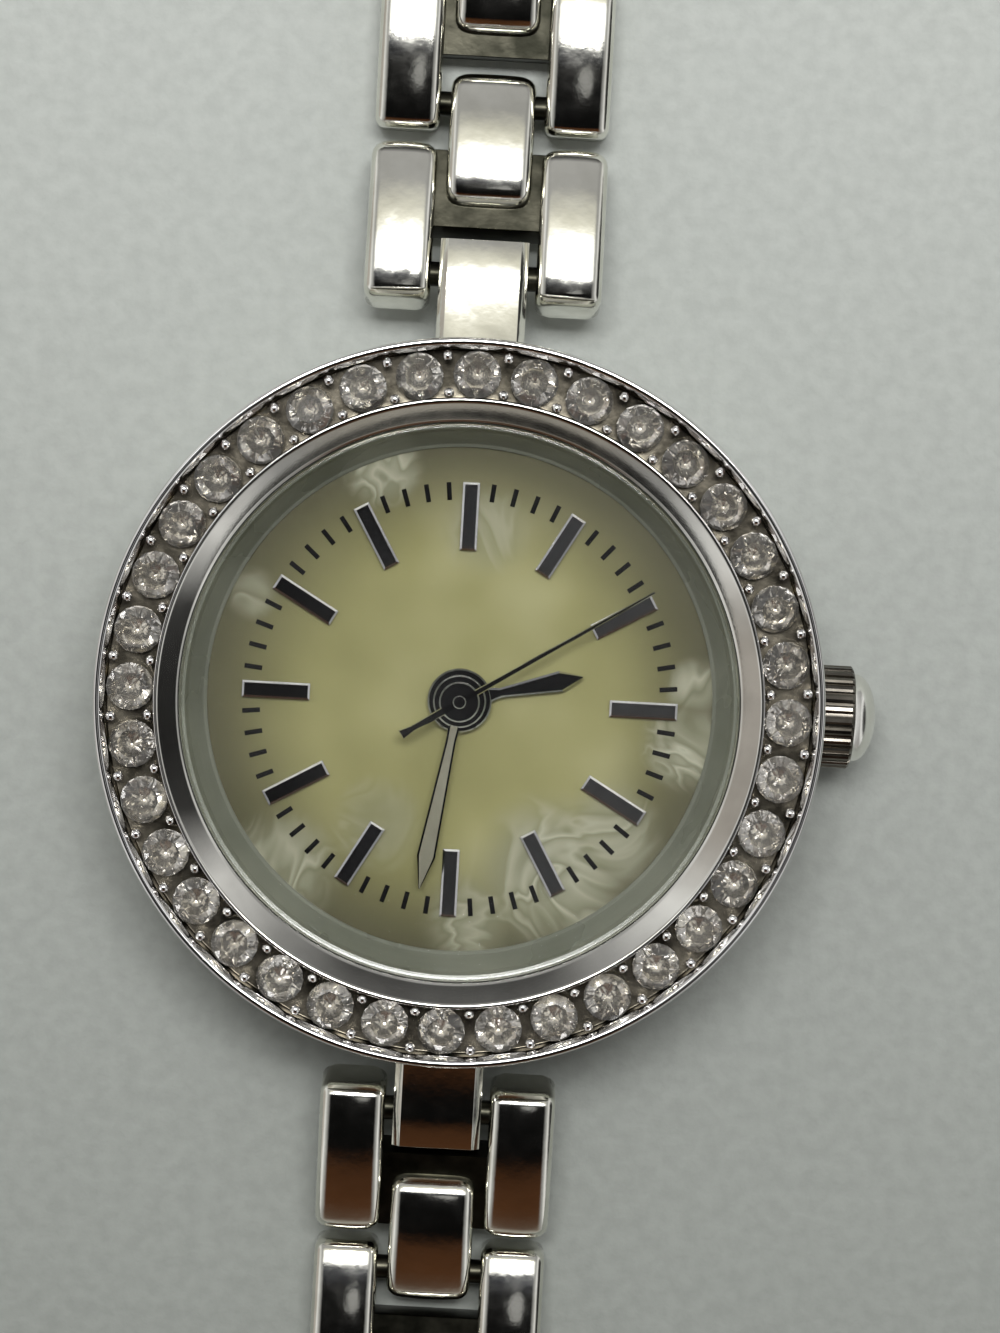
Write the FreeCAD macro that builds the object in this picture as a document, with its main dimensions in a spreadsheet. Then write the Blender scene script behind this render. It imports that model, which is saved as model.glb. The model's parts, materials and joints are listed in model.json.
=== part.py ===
import FreeCAD, Part
import math
import os
import re
import Sketcher

# Bracelet watch with a stone-set bezel, laid open and flat on a table.
# The origin is the middle of the case back's outer face. +Z is up through the dial,
# +Y points to twelve o'clock and +X to three o'clock, where the crown is. Millimetres.

doc = FreeCAD.newDocument("bracelet_watch")
sizes = doc.addObject("Spreadsheet::Sheet", "sizes")

# Driving dimensions

CASE_SIZES = (
    ("fit_gap", 0.05, "clearance between fixed pieces"),
    ("run_gap", 0.03, "clearance round a turning piece"),
    ("case_radius", 12.4, "outer wall of the middle case"),
    ("case_bore", 10.8, "radius inside the middle case"),
    ("case_top", 6.2, "height of the middle case's upper edge"),
    ("case_bevel", 0.6, "bevel under the middle case"),
    ("back_radius", 11.6, "case back's flange"),
    ("back_thick", 0.9, "case back's plate"),
    ("back_flange", 0.95, "height of the flange"),
    ("back_bevel", 0.35, "bevel round the outer face of the case back"),
    ("back_snap_top", 2.0, "top of the case back's snap ring"),
    ("back_snap_wall", 0.9, "wall of the snap ring"),
    ("back_seal_width", 0.6, "width of the flat gasket on the flange"),
    ("back_seal_thick", 0.2, "thickness of that gasket"),
    ("notch_width", 2.4, "opening notch in the case back's edge"),
    ("notch_depth", 0.5, "how far the notch goes in"),
    ("bezel_radius", 13.0, "outer edge of the bezel"),
    ("bezel_top", 7.5, "top of the bezel's rims"),
    ("bezel_bevel", 0.2, "bevel of the bezel's outer edges"),
    ("inner_rim", 0.12, "flat on top of the bezel's inner rim"),
    ("stone_count", 36, "stones round the bezel"),
    ("stone_ring", 11.7, "radius of the ring of stones"),
    ("stone_radius", 0.825, "corner radius of a stone at its girdle"),
    ("stone_play", 0.04, "room between a stone and the channel's walls"),
    ("stone_floor", 6.6, "floor of the stone channel"),
    ("stone_below", 0.48, "point to girdle"),
    ("stone_above", 0.34, "girdle to table"),
    ("table_radius", 0.5, "corner radius of a stone's table"),
    ("crystal_radius", 9.95, "edge of the crystal"),
    ("crystal_top", 7.05, "top of the crystal"),
    ("crystal_bevel", 0.35, "bevel round the crystal's top"),
    ("rehaut_bore", 9.0, "foot of the sloping ring round the dial"),
    ("rehaut_land", 0.95, "flat on top of that ring under the crystal"),
)

DIAL_SIZES = (
    ("dial_radius", 10.2, "dial plate"),
    ("dial_low", 4.3, "underside of the dial"),
    ("dial_top", 4.7, "face of the dial"),
    ("dial_hole", 0.85, "hole for the hands' tubes"),
    ("foot_radius", 0.3, "dial foot"),
    ("foot_ring", 8.0, "distance of the dial feet from the middle"),
    ("foot_length", 1.1, "length of a dial foot"),
    ("foot_bearing", 125, "direction of the first dial foot"),
    ("marker_inner", 5.37, "inner end of an hour marker"),
    ("marker_outer", 7.8, "outer end of an hour marker"),
    ("marker_width", 0.6, "width of an hour marker"),
    ("marker_height", 0.2, "height of an hour marker"),
    ("marker_bevel", 0.12, "bevel along an hour marker"),
    ("hour_low", 4.95, "underside of the hour hand"),
    ("minute_low", 5.35, "underside of the minute hand"),
    ("second_low", 5.75, "underside of the second hand"),
    ("hand_thick", 0.15, "thickness of the hour and minute hands"),
    ("second_thick", 0.1, "thickness of the second hand"),
    ("hour_length", 4.5, "hour hand from the middle to its point"),
    ("hour_belly", 3.9, "where the hour hand is widest"),
    ("hour_width", 0.75, "greatest width of the hour hand"),
    ("hour_neck", 0.35, "width of the hour hand at its hub"),
    ("hour_hub", 1.13, "hub of the hour hand"),
    ("minute_length", 6.9, "minute hand from the middle to its point"),
    ("minute_belly", 5.9, "where the minute hand is widest"),
    ("minute_width", 0.62, "greatest width of the minute hand"),
    ("minute_neck", 0.3, "width of the minute hand at its hub"),
    ("minute_hub", 0.75, "hub of the minute hand"),
    ("second_length", 8.0, "second hand from the middle to its point"),
    ("second_tail", 2.4, "its counterweight end"),
    ("second_neck", 0.12, "its width"),
    ("second_paddle", 0.26, "width of its counterweight"),
    ("second_hub", 0.32, "hub of the second hand"),
    ("hour_bearing", 76, "hour hand's angle past twelve"),
    ("minute_bearing", 189, "minute hand's angle past twelve"),
    ("second_bearing", 57.5, "second hand's angle past twelve"),
)

MOVEMENT_SIZES = (
    ("plate_radius", 8.6, "main plate"),
    ("plate_low", 3.0, "underside of the main plate"),
    ("plate_top", 3.5, "dial side of the main plate"),
    ("bridge_radius", 8.4, "train bridge"),
    ("bridge_low", 1.05, "lower face of the train bridge"),
    ("bridge_top", 1.4, "upper face of the train bridge"),
    ("pillar_radius", 0.55, "pillar between bridge and plate"),
    ("pillar_ring", 7.7, "distance of the pillars from the middle"),
    ("screw_radius", 0.25, "movement screw"),
    ("screw_head", 0.5, "head of a movement screw"),
    ("screw_head_thick", 0.12, "thickness of that head"),
    ("screw_length", 1.6, "shank of a movement screw"),
    ("pivot_radius", 0.1, "arbor of a wheel"),
    ("pivot_sink", 0.3, "depth of a pivot in plate or bridge"),
    ("wheel_thick", 0.2, "thickness of a wheel"),
    ("wheel_module", 0.09, "tooth module of most wheels"),
    ("third_module", 0.08, "tooth module of the third wheel"),
    ("rotor_leaves", 6, "teeth of the rotor pinion"),
    ("inter_teeth", 36, "teeth of the intermediate wheel"),
    ("inter_leaves", 8, "teeth of the intermediate pinion"),
    ("second_teeth", 40, "teeth of the second wheel"),
    ("second_leaves", 8, "teeth of the second pinion"),
    ("third_teeth", 60, "teeth of the third wheel"),
    ("third_leaves", 8, "teeth of the third pinion"),
    ("centre_teeth", 64, "teeth of the centre wheel"),
    ("cannon_leaves", 10, "teeth of the cannon pinion"),
    ("minute_teeth", 30, "teeth of the minute wheel"),
    ("minute_leaves", 8, "teeth of the minute pinion"),
    ("hour_teeth", 32, "teeth of the hour wheel"),
    ("setting_teeth", 20, "teeth of the setting wheel"),
    ("second_level", 1.6, "height of the second wheel"),
    ("third_level", 1.95, "height of the third wheel"),
    ("inter_level", 2.0, "height of the intermediate wheel"),
    ("centre_level", 2.35, "height of the centre wheel"),
    ("motion_level", 3.6, "height of the minute wheel on the dial side"),
    ("hour_level", 3.95, "height of the hour wheel"),
    ("centre_tube", 0.22, "arbor of the centre wheel"),
    ("cannon_tube", 0.34, "tube of the cannon pinion"),
    ("hour_tube", 0.56, "tube of the hour wheel"),
    ("inter_bearing", -40, "direction of the intermediate wheel"),
    ("rotor_bearing", -60, "direction from intermediate wheel to rotor"),
    ("third_bearing", 90, "direction of the third wheel"),
    ("magnet_radius", 0.7, "rotor magnet"),
    ("magnet_low", 2.4, "underside of the magnet"),
    ("magnet_high", 2.9, "top of the magnet"),
    ("stator_low", 2.35, "underside of the stator"),
    ("stator_thick", 0.3, "thickness of the stator"),
    ("stator_eye", 0.85, "hole round the rotor"),
    ("leg_width", 0.8, "width of a stator leg"),
    ("coil_left", -1.8, "left end of the coil"),
    ("coil_right", 3.2, "right end of the coil"),
    ("coil_back", 6.6, "distance of the coil from the middle"),
    ("coil_radius", 0.75, "outside of the winding"),
    ("coil_hole", 0.9, "square hole through the winding"),
    ("core_width", 0.6, "width of the coil's core"),
    ("core_thick", 0.3, "thickness of the coil's core"),
    ("battery_radius", 2.9, "button cell"),
    ("battery_low", 1.1, "lower face of the cell"),
    ("battery_high", 2.95, "upper face of the cell"),
    ("battery_step", 0.6, "step round the cell's cap"),
    ("battery_ring", 5.5, "distance of the cell from the middle"),
    ("battery_bearing", 200, "direction of the cell"),
    ("strap_width", 1.2, "contact spring under the cell"),
    ("strap_thick", 0.1, "thickness of the contact spring"),
    ("board_inner", 5.6, "inner edge of the circuit board"),
    ("board_outer", 8.1, "outer edge of the circuit board"),
    ("board_low", 2.5, "underside of the circuit board"),
    ("board_thick", 0.25, "thickness of the circuit board"),
    ("board_start", 54, "first end of the circuit board"),
    ("board_sweep", 90, "sweep of the circuit board"),
    ("chip_side", 1.6, "circuit chip"),
    ("chip_thick", 0.45, "thickness of the chip"),
    ("can_radius", 0.5, "quartz crystal's can"),
    ("can_length", 3.0, "length of that can"),
)

CROWN_SIZES = (
    ("stem_height", 2.9, "height of the stem and the crown"),
    ("stem_radius", 0.3, "stem"),
    ("stem_inner", 4.9, "inner end of the stem"),
    ("tube_radius", 0.75, "crown tube"),
    ("tube_bore", 0.45, "bore of the crown tube"),
    ("tube_end", 13.65, "outer end of the crown tube"),
    ("crown_radius", 1.87, "crown over its flutes"),
    ("crown_near", 12.6, "side of the crown next to the case"),
    ("crown_edge", 14.6, "outer end of the flutes"),
    ("crown_top", 15.15, "top of the crown's dome"),
    ("crown_bevel", 0.2, "bevel of the crown's edges"),
    ("crown_dome", 1.55, "radius of the domed cap"),
    ("crown_recess", 1.05, "recess in the crown for tube and gasket"),
    ("crown_recess_depth", 13.75, "bottom of that recess"),
    ("crown_thread_end", 14.3, "end of the stem in the crown"),
    ("crown_flutes", 28, "flutes round the crown"),
    ("flute_depth", 0.16, "depth of a flute"),
    ("crown_seal_start", 12.65, "crown gasket's near side"),
    ("crown_seal_width", 0.25, "width of the crown gasket"),
    ("lever_groove", 7.0, "start of the stem's groove"),
    ("groove_width", 0.3, "width of that groove"),
    ("groove_core", 0.18, "stem's radius in the groove"),
    ("lever_pin", 0.1, "setting lever's pin"),
    ("lever_offset", 0.36, "distance of that pin from the stem's axis"),
    ("lever_shift", 0.35, "half the pull of the crown"),
    ("lever_reach", 2.44, "pivot to pin, across the stem"),
    ("lever_low", 2.15, "lower face of the setting lever"),
    ("lever_thick", 0.2, "thickness of the setting lever"),
    ("lever_width", 0.35, "half width of the setting lever"),
    ("slider_start", 5.75, "inner end of the sliding pinion"),
    ("slider_length", 0.6, "length of the sliding pinion"),
    ("slider_radius", 0.78, "sliding pinion over its teeth"),
    ("slider_teeth", 12, "teeth of the sliding pinion"),
    ("square_side", 0.4, "square end of the stem"),
    ("slider_waist", 0.5, "sliding pinion in its groove"),
    ("slider_waist_width", 0.2, "width of that groove"),
    ("yoke_low", 2.75, "lower face of the yoke"),
    ("yoke_thick", 0.2, "thickness of the yoke"),
    ("yoke_length", 2.0, "length of the yoke's bar"),
    ("yoke_near", 1.3, "near edge of the yoke's bar"),
    ("yoke_far", 2.0, "far edge of the yoke's bar"),
)

STRAP_SIZES = (
    ("link_count", 9, "links on each side"),
    ("pitch", 6.45, "pin to pin"),
    ("pin_radius", 0.45, "strap pin"),
    ("pin_eye", 0.53, "corner radius of the eight-sided eye that turns on a pin"),
    ("lug_pin_reach", 15.25, "first pin from the watch's middle"),
    ("lug_pin_height", 3.0, "height of the first pin"),
    ("link_under", 1.4, "pin axis above the underside"),
    ("link_over", 1.0, "top of a link above its pin axis"),
    ("link_crown", 0.3, "rise of the lobes' rounded tops"),
    ("link_bevel", 0.28, "bevel along the lobes"),
    ("foot_bevel", 0.25, "bevel of the lobes' lower ends"),
    ("side_tail", 0.66, "side lobe behind its pin"),
    ("side_gap", 0.53, "gap between side lobes in line"),
    ("side_width", 2.4, "width of the first link's side lobe"),
    ("side_taper", 0.04, "each side lobe is narrower by this"),
    ("lobe_gap", 0.35, "gap between side and centre lobes"),
    ("centre_width", 3.1, "width of a centre lobe"),
    ("centre_start", 2.55, "start of a centre lobe"),
    ("centre_reach", 1.17, "centre lobe past the next pin"),
    ("web_start", 1.75, "start of the web that joins the lobes"),
    ("web_end", 4.7, "end of the web"),
    ("web_top", 0.1, "top of the web above the pin axis"),
    ("lug_width", 3.2, "case lug"),
    ("lug_end", 1.3, "lug past its pin"),
    ("lug_root_top", 4.4, "top of the lug at the case"),
    ("clasp_floor_end", 11.1, "far end of the clasp's floor"),
    ("clasp_wall", 0.7, "side walls of the clasp"),
    ("clasp_floor", 0.45, "floor of the clasp"),
    ("clasp_rim", 0.2, "top of the side walls above the pin axis"),
    ("clasp_hinge", 12.35, "cover hinge from the strap pin"),
    ("clasp_hinge_drop", 0.35, "cover hinge below the strap pin"),
    ("clasp_hinge_pin", 0.3, "cover hinge pin"),
    ("knuckle_radius", 0.5, "knuckle of the cover"),
    ("cover_start", 1.9, "near end of the cover"),
    ("cover_thick", 0.5, "thickness of the cover"),
    ("cover_crown", 0.2, "rise of the cover's rounded top"),
    ("cover_gap", 0.08, "cover above the side walls"),
    ("catch_length", 3.5, "catch past its pin"),
    ("catch_bar", 0.4, "bar that the clasp closes on"),
    ("catch_bar_drop", 0.9, "bar below the strap pin"),
)

ALL_SIZES = CASE_SIZES + DIAL_SIZES + MOVEMENT_SIZES + CROWN_SIZES + STRAP_SIZES
ALIASES = {name for name, number, note in ALL_SIZES}
for row, (name, number, note) in enumerate(ALL_SIZES, 1):
    sizes.set("A%d" % row, name)
    sizes.set("B%d" % row, str(number))
    sizes.set("C%d" % row, note)
    sizes.setAlias("B%d" % row, name)
doc.recompute()

STRANDS = (("upper", 0), ("lower", 180))

# Words of the sheet


def words(text):
    """The text with each name of a size written as a reference to the sheet."""

    def reference(found):
        return "sizes." + found[0] if found[0] in ALIASES else found[0]

    return re.sub(r"[a-z_]+", reference, text)


def value(text):
    """The number that a text of the sheet's names stands for."""
    return float(sizes.evalExpression(words(text)))


def bind(thing, member, text):
    """Tie one size of a thing to the sheet."""
    thing.setExpression(member, words(text))


# Sketches


def sketch_on(body, name, role, height=None):
    """A new sketch on one of the body's own planes, lifted along its normal where a height is given."""
    plane = [item for item in body.Origin.OriginFeatures if item.Role == role][0]
    sketch = body.newObject("Sketcher::SketchObject", name)
    sketch.AttachmentSupport = [(plane, "")]
    sketch.MapMode = "FlatFace"
    if height:
        bind(sketch, "AttachmentOffset.Base.z", height)
    return sketch


def arc_centre(start, end, radius, turn):
    """The centre of the short arc from start to end, bulging to the right of a path that turns left."""
    chord = end - start
    half = chord.Length / 2
    away = FreeCAD.Vector(-chord.y, chord.x, 0).normalize() * turn
    return start + chord * 0.5 + away * math.sqrt(max(radius ** 2 - half ** 2, 0))


def add_loop(sketch, corners):
    """Add a closed loop through corners given as sheet texts (across, up).

    A third text is the radius of the arc that leaves the corner and bulges outwards.
    """
    first = sketch.GeometryCount
    spots = [FreeCAD.Vector(value(corner[0]), value(corner[1]), 0) for corner in corners]
    area = 0
    for i, spot in enumerate(spots):
        area += spots[i - 1].x * spot.y - spot.x * spots[i - 1].y
    turn = 1 if area > 0 else -1
    ends = []
    for i, corner in enumerate(corners):
        start = spots[i]
        end = spots[(i + 1) % len(corners)]
        if len(corner) == 2:
            sketch.addGeometry(Part.LineSegment(start, end), False)
            ends.append((1, 2))
            continue
        radius = value(corner[2])
        centre = arc_centre(start, end, radius, turn)
        middle = centre + ((start + end) * 0.5 - centre).normalize() * radius
        sketch.addGeometry(Part.Arc(start, middle, end), False)
        # A left-turning arc runs from its first to its second point, and a right-turning one the other way.
        ends.append((1, 2) if turn > 0 else (2, 1))
    for i, corner in enumerate(corners):
        after = (i + 1) % len(corners)
        join = Sketcher.Constraint("Coincident", first + i, ends[i][1], first + after, ends[after][0])
        sketch.addConstraint(join)
        for kind, text, number in (("DistanceX", corner[0], spots[i].x), ("DistanceY", corner[1], spots[i].y)):
            mark = sketch.addConstraint(Sketcher.Constraint(kind, -1, 1, first + i, ends[i][0], number))
            bind(sketch, "Constraints[%d]" % mark, text)
        if len(corner) == 3:
            mark = sketch.addConstraint(Sketcher.Constraint("Radius", first + i, value(corner[2])))
            bind(sketch, "Constraints[%d]" % mark, corner[2])


def outline(body, name, role, corners, height=None):
    """A sketch of one closed loop."""
    sketch = sketch_on(body, name, role, height)
    add_loop(sketch, corners)
    return sketch


def octagons(body, name, role, rounds, height=None):
    """A sketch of eight-sided loops for small hidden rounds, each given as sheet texts (across, up, radius)."""
    sketch = sketch_on(body, name, role, height)
    for across, up, radius in rounds:
        corners = []
        for turn in range(0, 360, 45):
            arm = "(%s)" % radius
            corners.append(("%s + %s * cos(%d)" % (across, arm, turn), "%s + %s * sin(%d)" % (up, arm, turn)))
        add_loop(sketch, corners)
    return sketch


def circles(body, name, role, rounds, height=None):
    """A sketch of circles, each given as sheet texts (across, up, radius)."""
    sketch = sketch_on(body, name, role, height)
    for i, (across, up, radius) in enumerate(rounds):
        centre = FreeCAD.Vector(value(across), value(up), 0)
        sketch.addGeometry(Part.Circle(centre, FreeCAD.Vector(0, 0, 1), value(radius)), False)
        for kind, text, number in (("DistanceX", across, centre.x), ("DistanceY", up, centre.y)):
            mark = sketch.addConstraint(Sketcher.Constraint(kind, -1, 1, i, 3, number))
            bind(sketch, "Constraints[%d]" % mark, text)
        mark = sketch.addConstraint(Sketcher.Constraint("Radius", i, value(radius)))
        bind(sketch, "Constraints[%d]" % mark, radius)
    return sketch


# Features


def body_named(label, spot=()):
    """A new body, placed at a spot if one is given as sheet texts."""
    body = doc.addObject("PartDesign::Body", label)
    for axis, text in zip("xyz", spot):
        bind(body, "Placement.Base." + axis, text)
    return body


def pad(body, sketch, length, both_ways=False, down=False):
    """Raise a sketch by a length, evenly to both sides, or downwards."""
    feature = body.newObject("PartDesign::Pad", sketch.Name + "_pad")
    feature.Profile = sketch
    bind(feature, "Length", length)
    feature.SideType = "Symmetric" if both_ways else "One side"
    feature.Reversed = down
    body.Tip = feature
    return feature


def pocket(body, sketch, depth=None, upwards=False):
    """Cut a sketch right through both ways, or to a depth below or above it."""
    feature = body.newObject("PartDesign::Pocket", sketch.Name + "_cut")
    feature.Profile = sketch
    if depth:
        bind(feature, "Length", depth)
        feature.Reversed = upwards
    else:
        feature.SideType = "Symmetric"
        feature.Type = "ThroughAll"
    body.Tip = feature
    return feature


def mirror(body, feature, role):
    """Repeat a feature on the other side of one of the body's own planes."""
    plane = [item for item in body.Origin.OriginFeatures if item.Role == role][0]
    copy = body.newObject("PartDesign::Mirrored", feature.Name + "_mirror")
    copy.Originals = [feature]
    copy.MirrorPlane = (plane, [""])
    body.Tip = copy
    return copy


def ring_of(body, feature, count, role="Z_Axis"):
    """Repeat a feature round one of the body's own axes."""
    axis = [item for item in body.Origin.OriginFeatures if item.Role == role][0]
    copies = body.newObject("PartDesign::PolarPattern", feature.Name + "_ring")
    copies.Originals = [feature]
    copies.Axis = (axis, [""])
    copies.Angle = 360
    bind(copies, "Occurrences", count)
    body.Tip = copies
    return copies


def turned(label, corners, spot=(), about="V_Axis"):
    """A lathe-turned body: its half section, (radius, height), spun round the upright axis.

    About the flat axis the section is (along, radius) instead.
    """
    body = body_named(label, spot)
    section = outline(body, label + "_section", "XZ_Plane", corners)
    spin = body.newObject("PartDesign::Revolution", label + "_turned")
    spin.Profile = section
    spin.ReferenceAxis = (section, [about])
    spin.Angle = 360
    body.Tip = spin
    return body


def bevel(body, feature, size, chosen):
    """Bevel the edges of a feature whose middle the chosen test accepts."""
    doc.recompute()
    names = []
    for number, edge in enumerate(feature.Shape.Edges, 1):
        if chosen(edge, edge.valueAt((edge.FirstParameter + edge.LastParameter) / 2)):
            names.append("Edge%d" % number)
    feature_bevel = body.newObject("PartDesign::Chamfer", feature.Name + "_bevel")
    feature_bevel.Base = (feature, names)
    bind(feature_bevel, "Size", size)
    body.Tip = feature_bevel
    return feature_bevel


def group(label, members, placement=None):
    """One node of separate solids that stay together."""
    compound = doc.addObject("Part::Compound", label)
    compound.Links = members
    if placement:
        compound.Placement = placement
    return compound


def fused(label, members):
    """One solid made of several."""
    union = doc.addObject("Part::MultiFuse", label)
    union.Shapes = members
    return union


def copies_round(label, pattern, count):
    """A ring of separate copies of one solid, each turned about the watch's axis."""
    doc.recompute()
    shapes = []
    for number in range(count):
        copy = pattern.Shape.copy()
        copy.rotate(FreeCAD.Vector(0, 0, 0), FreeCAD.Vector(0, 0, 1), number * 360 / count)
        shapes.append(copy)
    ring = doc.addObject("Part::Feature", label)
    ring.Shape = Part.makeCompound(shapes)
    return ring


# Toothed wheels


def around(radius, angle, height=0.0):
    """The point at a radius and an angle in degrees."""
    turn = math.radians(angle)
    return FreeCAD.Vector(radius * math.cos(turn), radius * math.sin(turn), height)


def toothed(label, teeth, module, low, thick, phase=0.0, spot=(0.0, 0.0), bore=0.0):
    """A disc of pointed teeth whose first tooth points along phase, in degrees."""
    count = int(round(teeth))
    tip = module * (count / 2 + 1)
    root = module * (count / 2 - 1.25)
    step = 360 / count
    points = []
    for tooth in range(count):
        middle = phase + tooth * step
        for radius, angle in ((root, middle - step / 2), (tip, middle)):
            points.append(around(radius, angle))
    face = Part.Face(Part.makePolygon(points + points[:1]))
    if bore:
        eye = [around(bore, turn) for turn in range(0, 405, 45)]
        face = face.cut(Part.Face(Part.makePolygon(eye))).Faces[0]
    disc = doc.addObject("Part::Feature", label)
    disc.Shape = face.extrude(FreeCAD.Vector(0, 0, thick))
    disc.Placement = FreeCAD.Placement(FreeCAD.Vector(spot[0], spot[1], low), FreeCAD.Rotation())
    return disc


def meshing_phase(phase, teeth, mate_teeth, bearing):
    """Where the mate's first tooth points so that its gap meets a tooth, along the line of centres."""
    step = 360 / teeth
    share = ((bearing - phase) / step) % 1.0
    return bearing + 180 - (0.5 - share) * 360 / mate_teeth


def rod(label, spot, radii, low, high):
    """A round upright rod, or an eight-sided tube where two radii are given, between two heights."""
    body = body_named(label)
    shape = circles if len(radii) == 1 else octagons
    section = shape(body, label + "_section", "XY_Plane", [spot + (radius,) for radius in radii], low)
    pad(body, section, "(%s) - (%s)" % (high, low))
    return body


# Middle case, case back and their gasket


def make_caseback():
    """The snap-on case back, with its flange, snap ring and opening notch."""
    snap = "case_bore - fit_gap"
    corners = (
        ("0", "0"),
        ("back_radius - back_bevel", "0"),
        ("back_radius", "back_bevel"),
        ("back_radius", "back_flange"),
        (snap, "back_flange"),
        (snap, "back_snap_top"),
        (snap + " - back_snap_wall", "back_snap_top"),
        (snap + " - back_snap_wall", "back_thick"),
        ("0", "back_thick"),
    )
    body = turned("caseback", corners)
    near = "-back_radius + notch_depth"
    far = "-back_radius - notch_depth"
    notch = outline(body, "caseback_notch", "XY_Plane", (
        ("-notch_width / 2", far),
        ("notch_width / 2", far),
        ("notch_width / 2", near),
        ("-notch_width / 2", near),
    ))
    pocket(body, notch, "back_flange - back_bevel", upwards=True)
    return body


def make_case_body():
    """The middle case with one centre lug at each end and the hole for the crown tube."""
    foot = "back_flange + back_seal_thick"
    corners = (
        ("case_bore", foot),
        ("case_radius - case_bevel", foot),
        ("case_radius", foot + " + case_bevel"),
        ("case_radius", "case_top"),
        ("case_bore", "case_top"),
    )
    body = turned("case_body", corners)
    root = "(case_bore + case_radius) / 2"
    low = "lug_pin_height - link_under"
    tip = "lug_pin_reach + lug_end"
    side = outline(body, "lug_side", "YZ_Plane", (
        (root, low),
        (tip + " - foot_bevel", low),
        (tip, low + " + foot_bevel"),
        (tip, "lug_pin_height + link_over - link_crown"),
        ("lug_pin_reach", "lug_pin_height + link_over"),
        (root, "lug_root_top"),
    ))
    lug = pad(body, side, "lug_width", both_ways=True)
    lugs = mirror(body, lug, "XZ_Plane")

    def long_top_edge(edge, middle):
        outside = abs(middle.y) > value("case_radius")
        return outside and middle.z > value("lug_pin_height + link_over / 2") and abs(middle.x) > 1.5 and edge.Length > 1

    bevel(body, lugs, "link_bevel", long_top_edge)
    pins = octagons(body, "lug_eyes", "YZ_Plane", (
        ("lug_pin_reach", "lug_pin_height", "pin_eye"),
        ("-lug_pin_reach", "lug_pin_height", "pin_eye"),
    ))
    pocket(body, pins)
    tube = circles(body, "tube_hole", "YZ_Plane", (("0", "stem_height", "tube_radius"),))
    pocket(body, tube, "crown_near", upwards=True)
    return body


def make_case_seal():
    """The flat gasket between the case back's flange and the middle case."""
    outer = "case_bore + back_seal_width"
    high = "back_flange + back_seal_thick"
    corners = (("case_bore", "back_flange"), (outer, "back_flange"), (outer, high), ("case_bore", high))
    return turned("caseback_gasket", corners)


# Bezel, stones and crystal


def make_bezel():
    """The bezel: a ring with a channel for the stones and a sloping inner rim round the crystal."""
    eye = "crystal_radius + fit_gap"
    inside = "stone_ring - stone_radius - stone_play"
    outside = "stone_ring + stone_radius + stone_play"
    return turned("bezel", (
        (eye, "case_top"),
        ("bezel_radius", "case_top"),
        ("bezel_radius", "bezel_top - bezel_bevel"),
        ("bezel_radius - bezel_bevel", "bezel_top"),
        (outside, "bezel_top"),
        (outside, "stone_floor"),
        (inside, "stone_floor"),
        (inside, "bezel_top"),
        (inside + " - inner_rim", "bezel_top"),
        (eye, "crystal_top - crystal_bevel"),
    ))


def make_stones():
    """A ring of single-cut stones, each standing on its point in the channel."""
    corners = range(0, 360, 45)
    point = FreeCAD.Vector(0, 0, 0)
    girdle = [around(value("stone_radius"), turn, value("stone_below")) for turn in corners]
    table = [around(value("table_radius"), turn, value("stone_below + stone_above")) for turn in corners]
    faces = [Part.Face(Part.makePolygon(table + table[:1]))]
    for i in range(len(girdle)):
        last = i - 1
        faces.append(Part.Face(Part.makePolygon([point, girdle[last], girdle[i], point])))
        side = [girdle[last], girdle[i], table[i], table[last], girdle[last]]
        faces.append(Part.Face(Part.makePolygon(side)))
    stone = doc.addObject("Part::Feature", "stone_pattern")
    stone.Shape = Part.Solid(Part.Shell(faces))
    stone.Placement.Base = FreeCAD.Vector(value("stone_ring"), 0, value("stone_floor"))
    return copies_round("bezel_stones", stone, int(value("stone_count")))


def make_crystal():
    """The flat crystal with a bevelled edge."""
    return turned("crystal", (
        ("0", "case_top"),
        ("crystal_radius", "case_top"),
        ("crystal_radius", "crystal_top - crystal_bevel"),
        ("crystal_radius - crystal_bevel", "crystal_top"),
        ("0", "crystal_top"),
    ))


def make_rehaut():
    """The sloping ring between the dial and the crystal."""
    outer = "case_bore - fit_gap"
    return turned("rehaut_ring", (
        ("rehaut_bore", "dial_top"),
        (outer, "dial_top"),
        (outer, "case_top"),
        (outer + " - rehaut_land", "case_top"),
    ))


# Dial, hour markers and hands


def make_dial():
    """The dial plate with its two feet."""
    body = body_named("dial")
    face = circles(body, "dial_face", "XY_Plane", (("0", "0", "dial_radius"),), "dial_low")
    pad(body, face, "dial_top - dial_low")
    hole = octagons(body, "dial_middle", "XY_Plane", (("0", "0", "dial_hole"),))
    pocket(body, hole)
    spots = []
    for turn in ("foot_bearing", "foot_bearing + 180"):
        spots.append(("foot_ring * cos(%s)" % turn, "foot_ring * sin(%s)" % turn, "foot_radius"))
    feet = octagons(body, "dial_feet", "XY_Plane", spots, "dial_low")
    pad(body, feet, "foot_length", down=True)
    return body


def make_markers():
    """Twelve applied batons with bevelled tops."""
    body = body_named("marker_pattern")
    half = "marker_width / 2"
    foot = outline(body, "marker_foot", "XY_Plane", (
        ("-" + half, "marker_inner"),
        (half, "marker_inner"),
        (half, "marker_outer"),
        ("-" + half, "marker_outer"),
    ), "dial_top")
    block = pad(body, foot, "marker_height")
    top = value("dial_top + marker_height")
    bevel(body, block, "marker_bevel", lambda edge, middle: abs(middle.z - top) < 0.001)
    return copies_round("hour_markers", body, 12)


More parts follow.
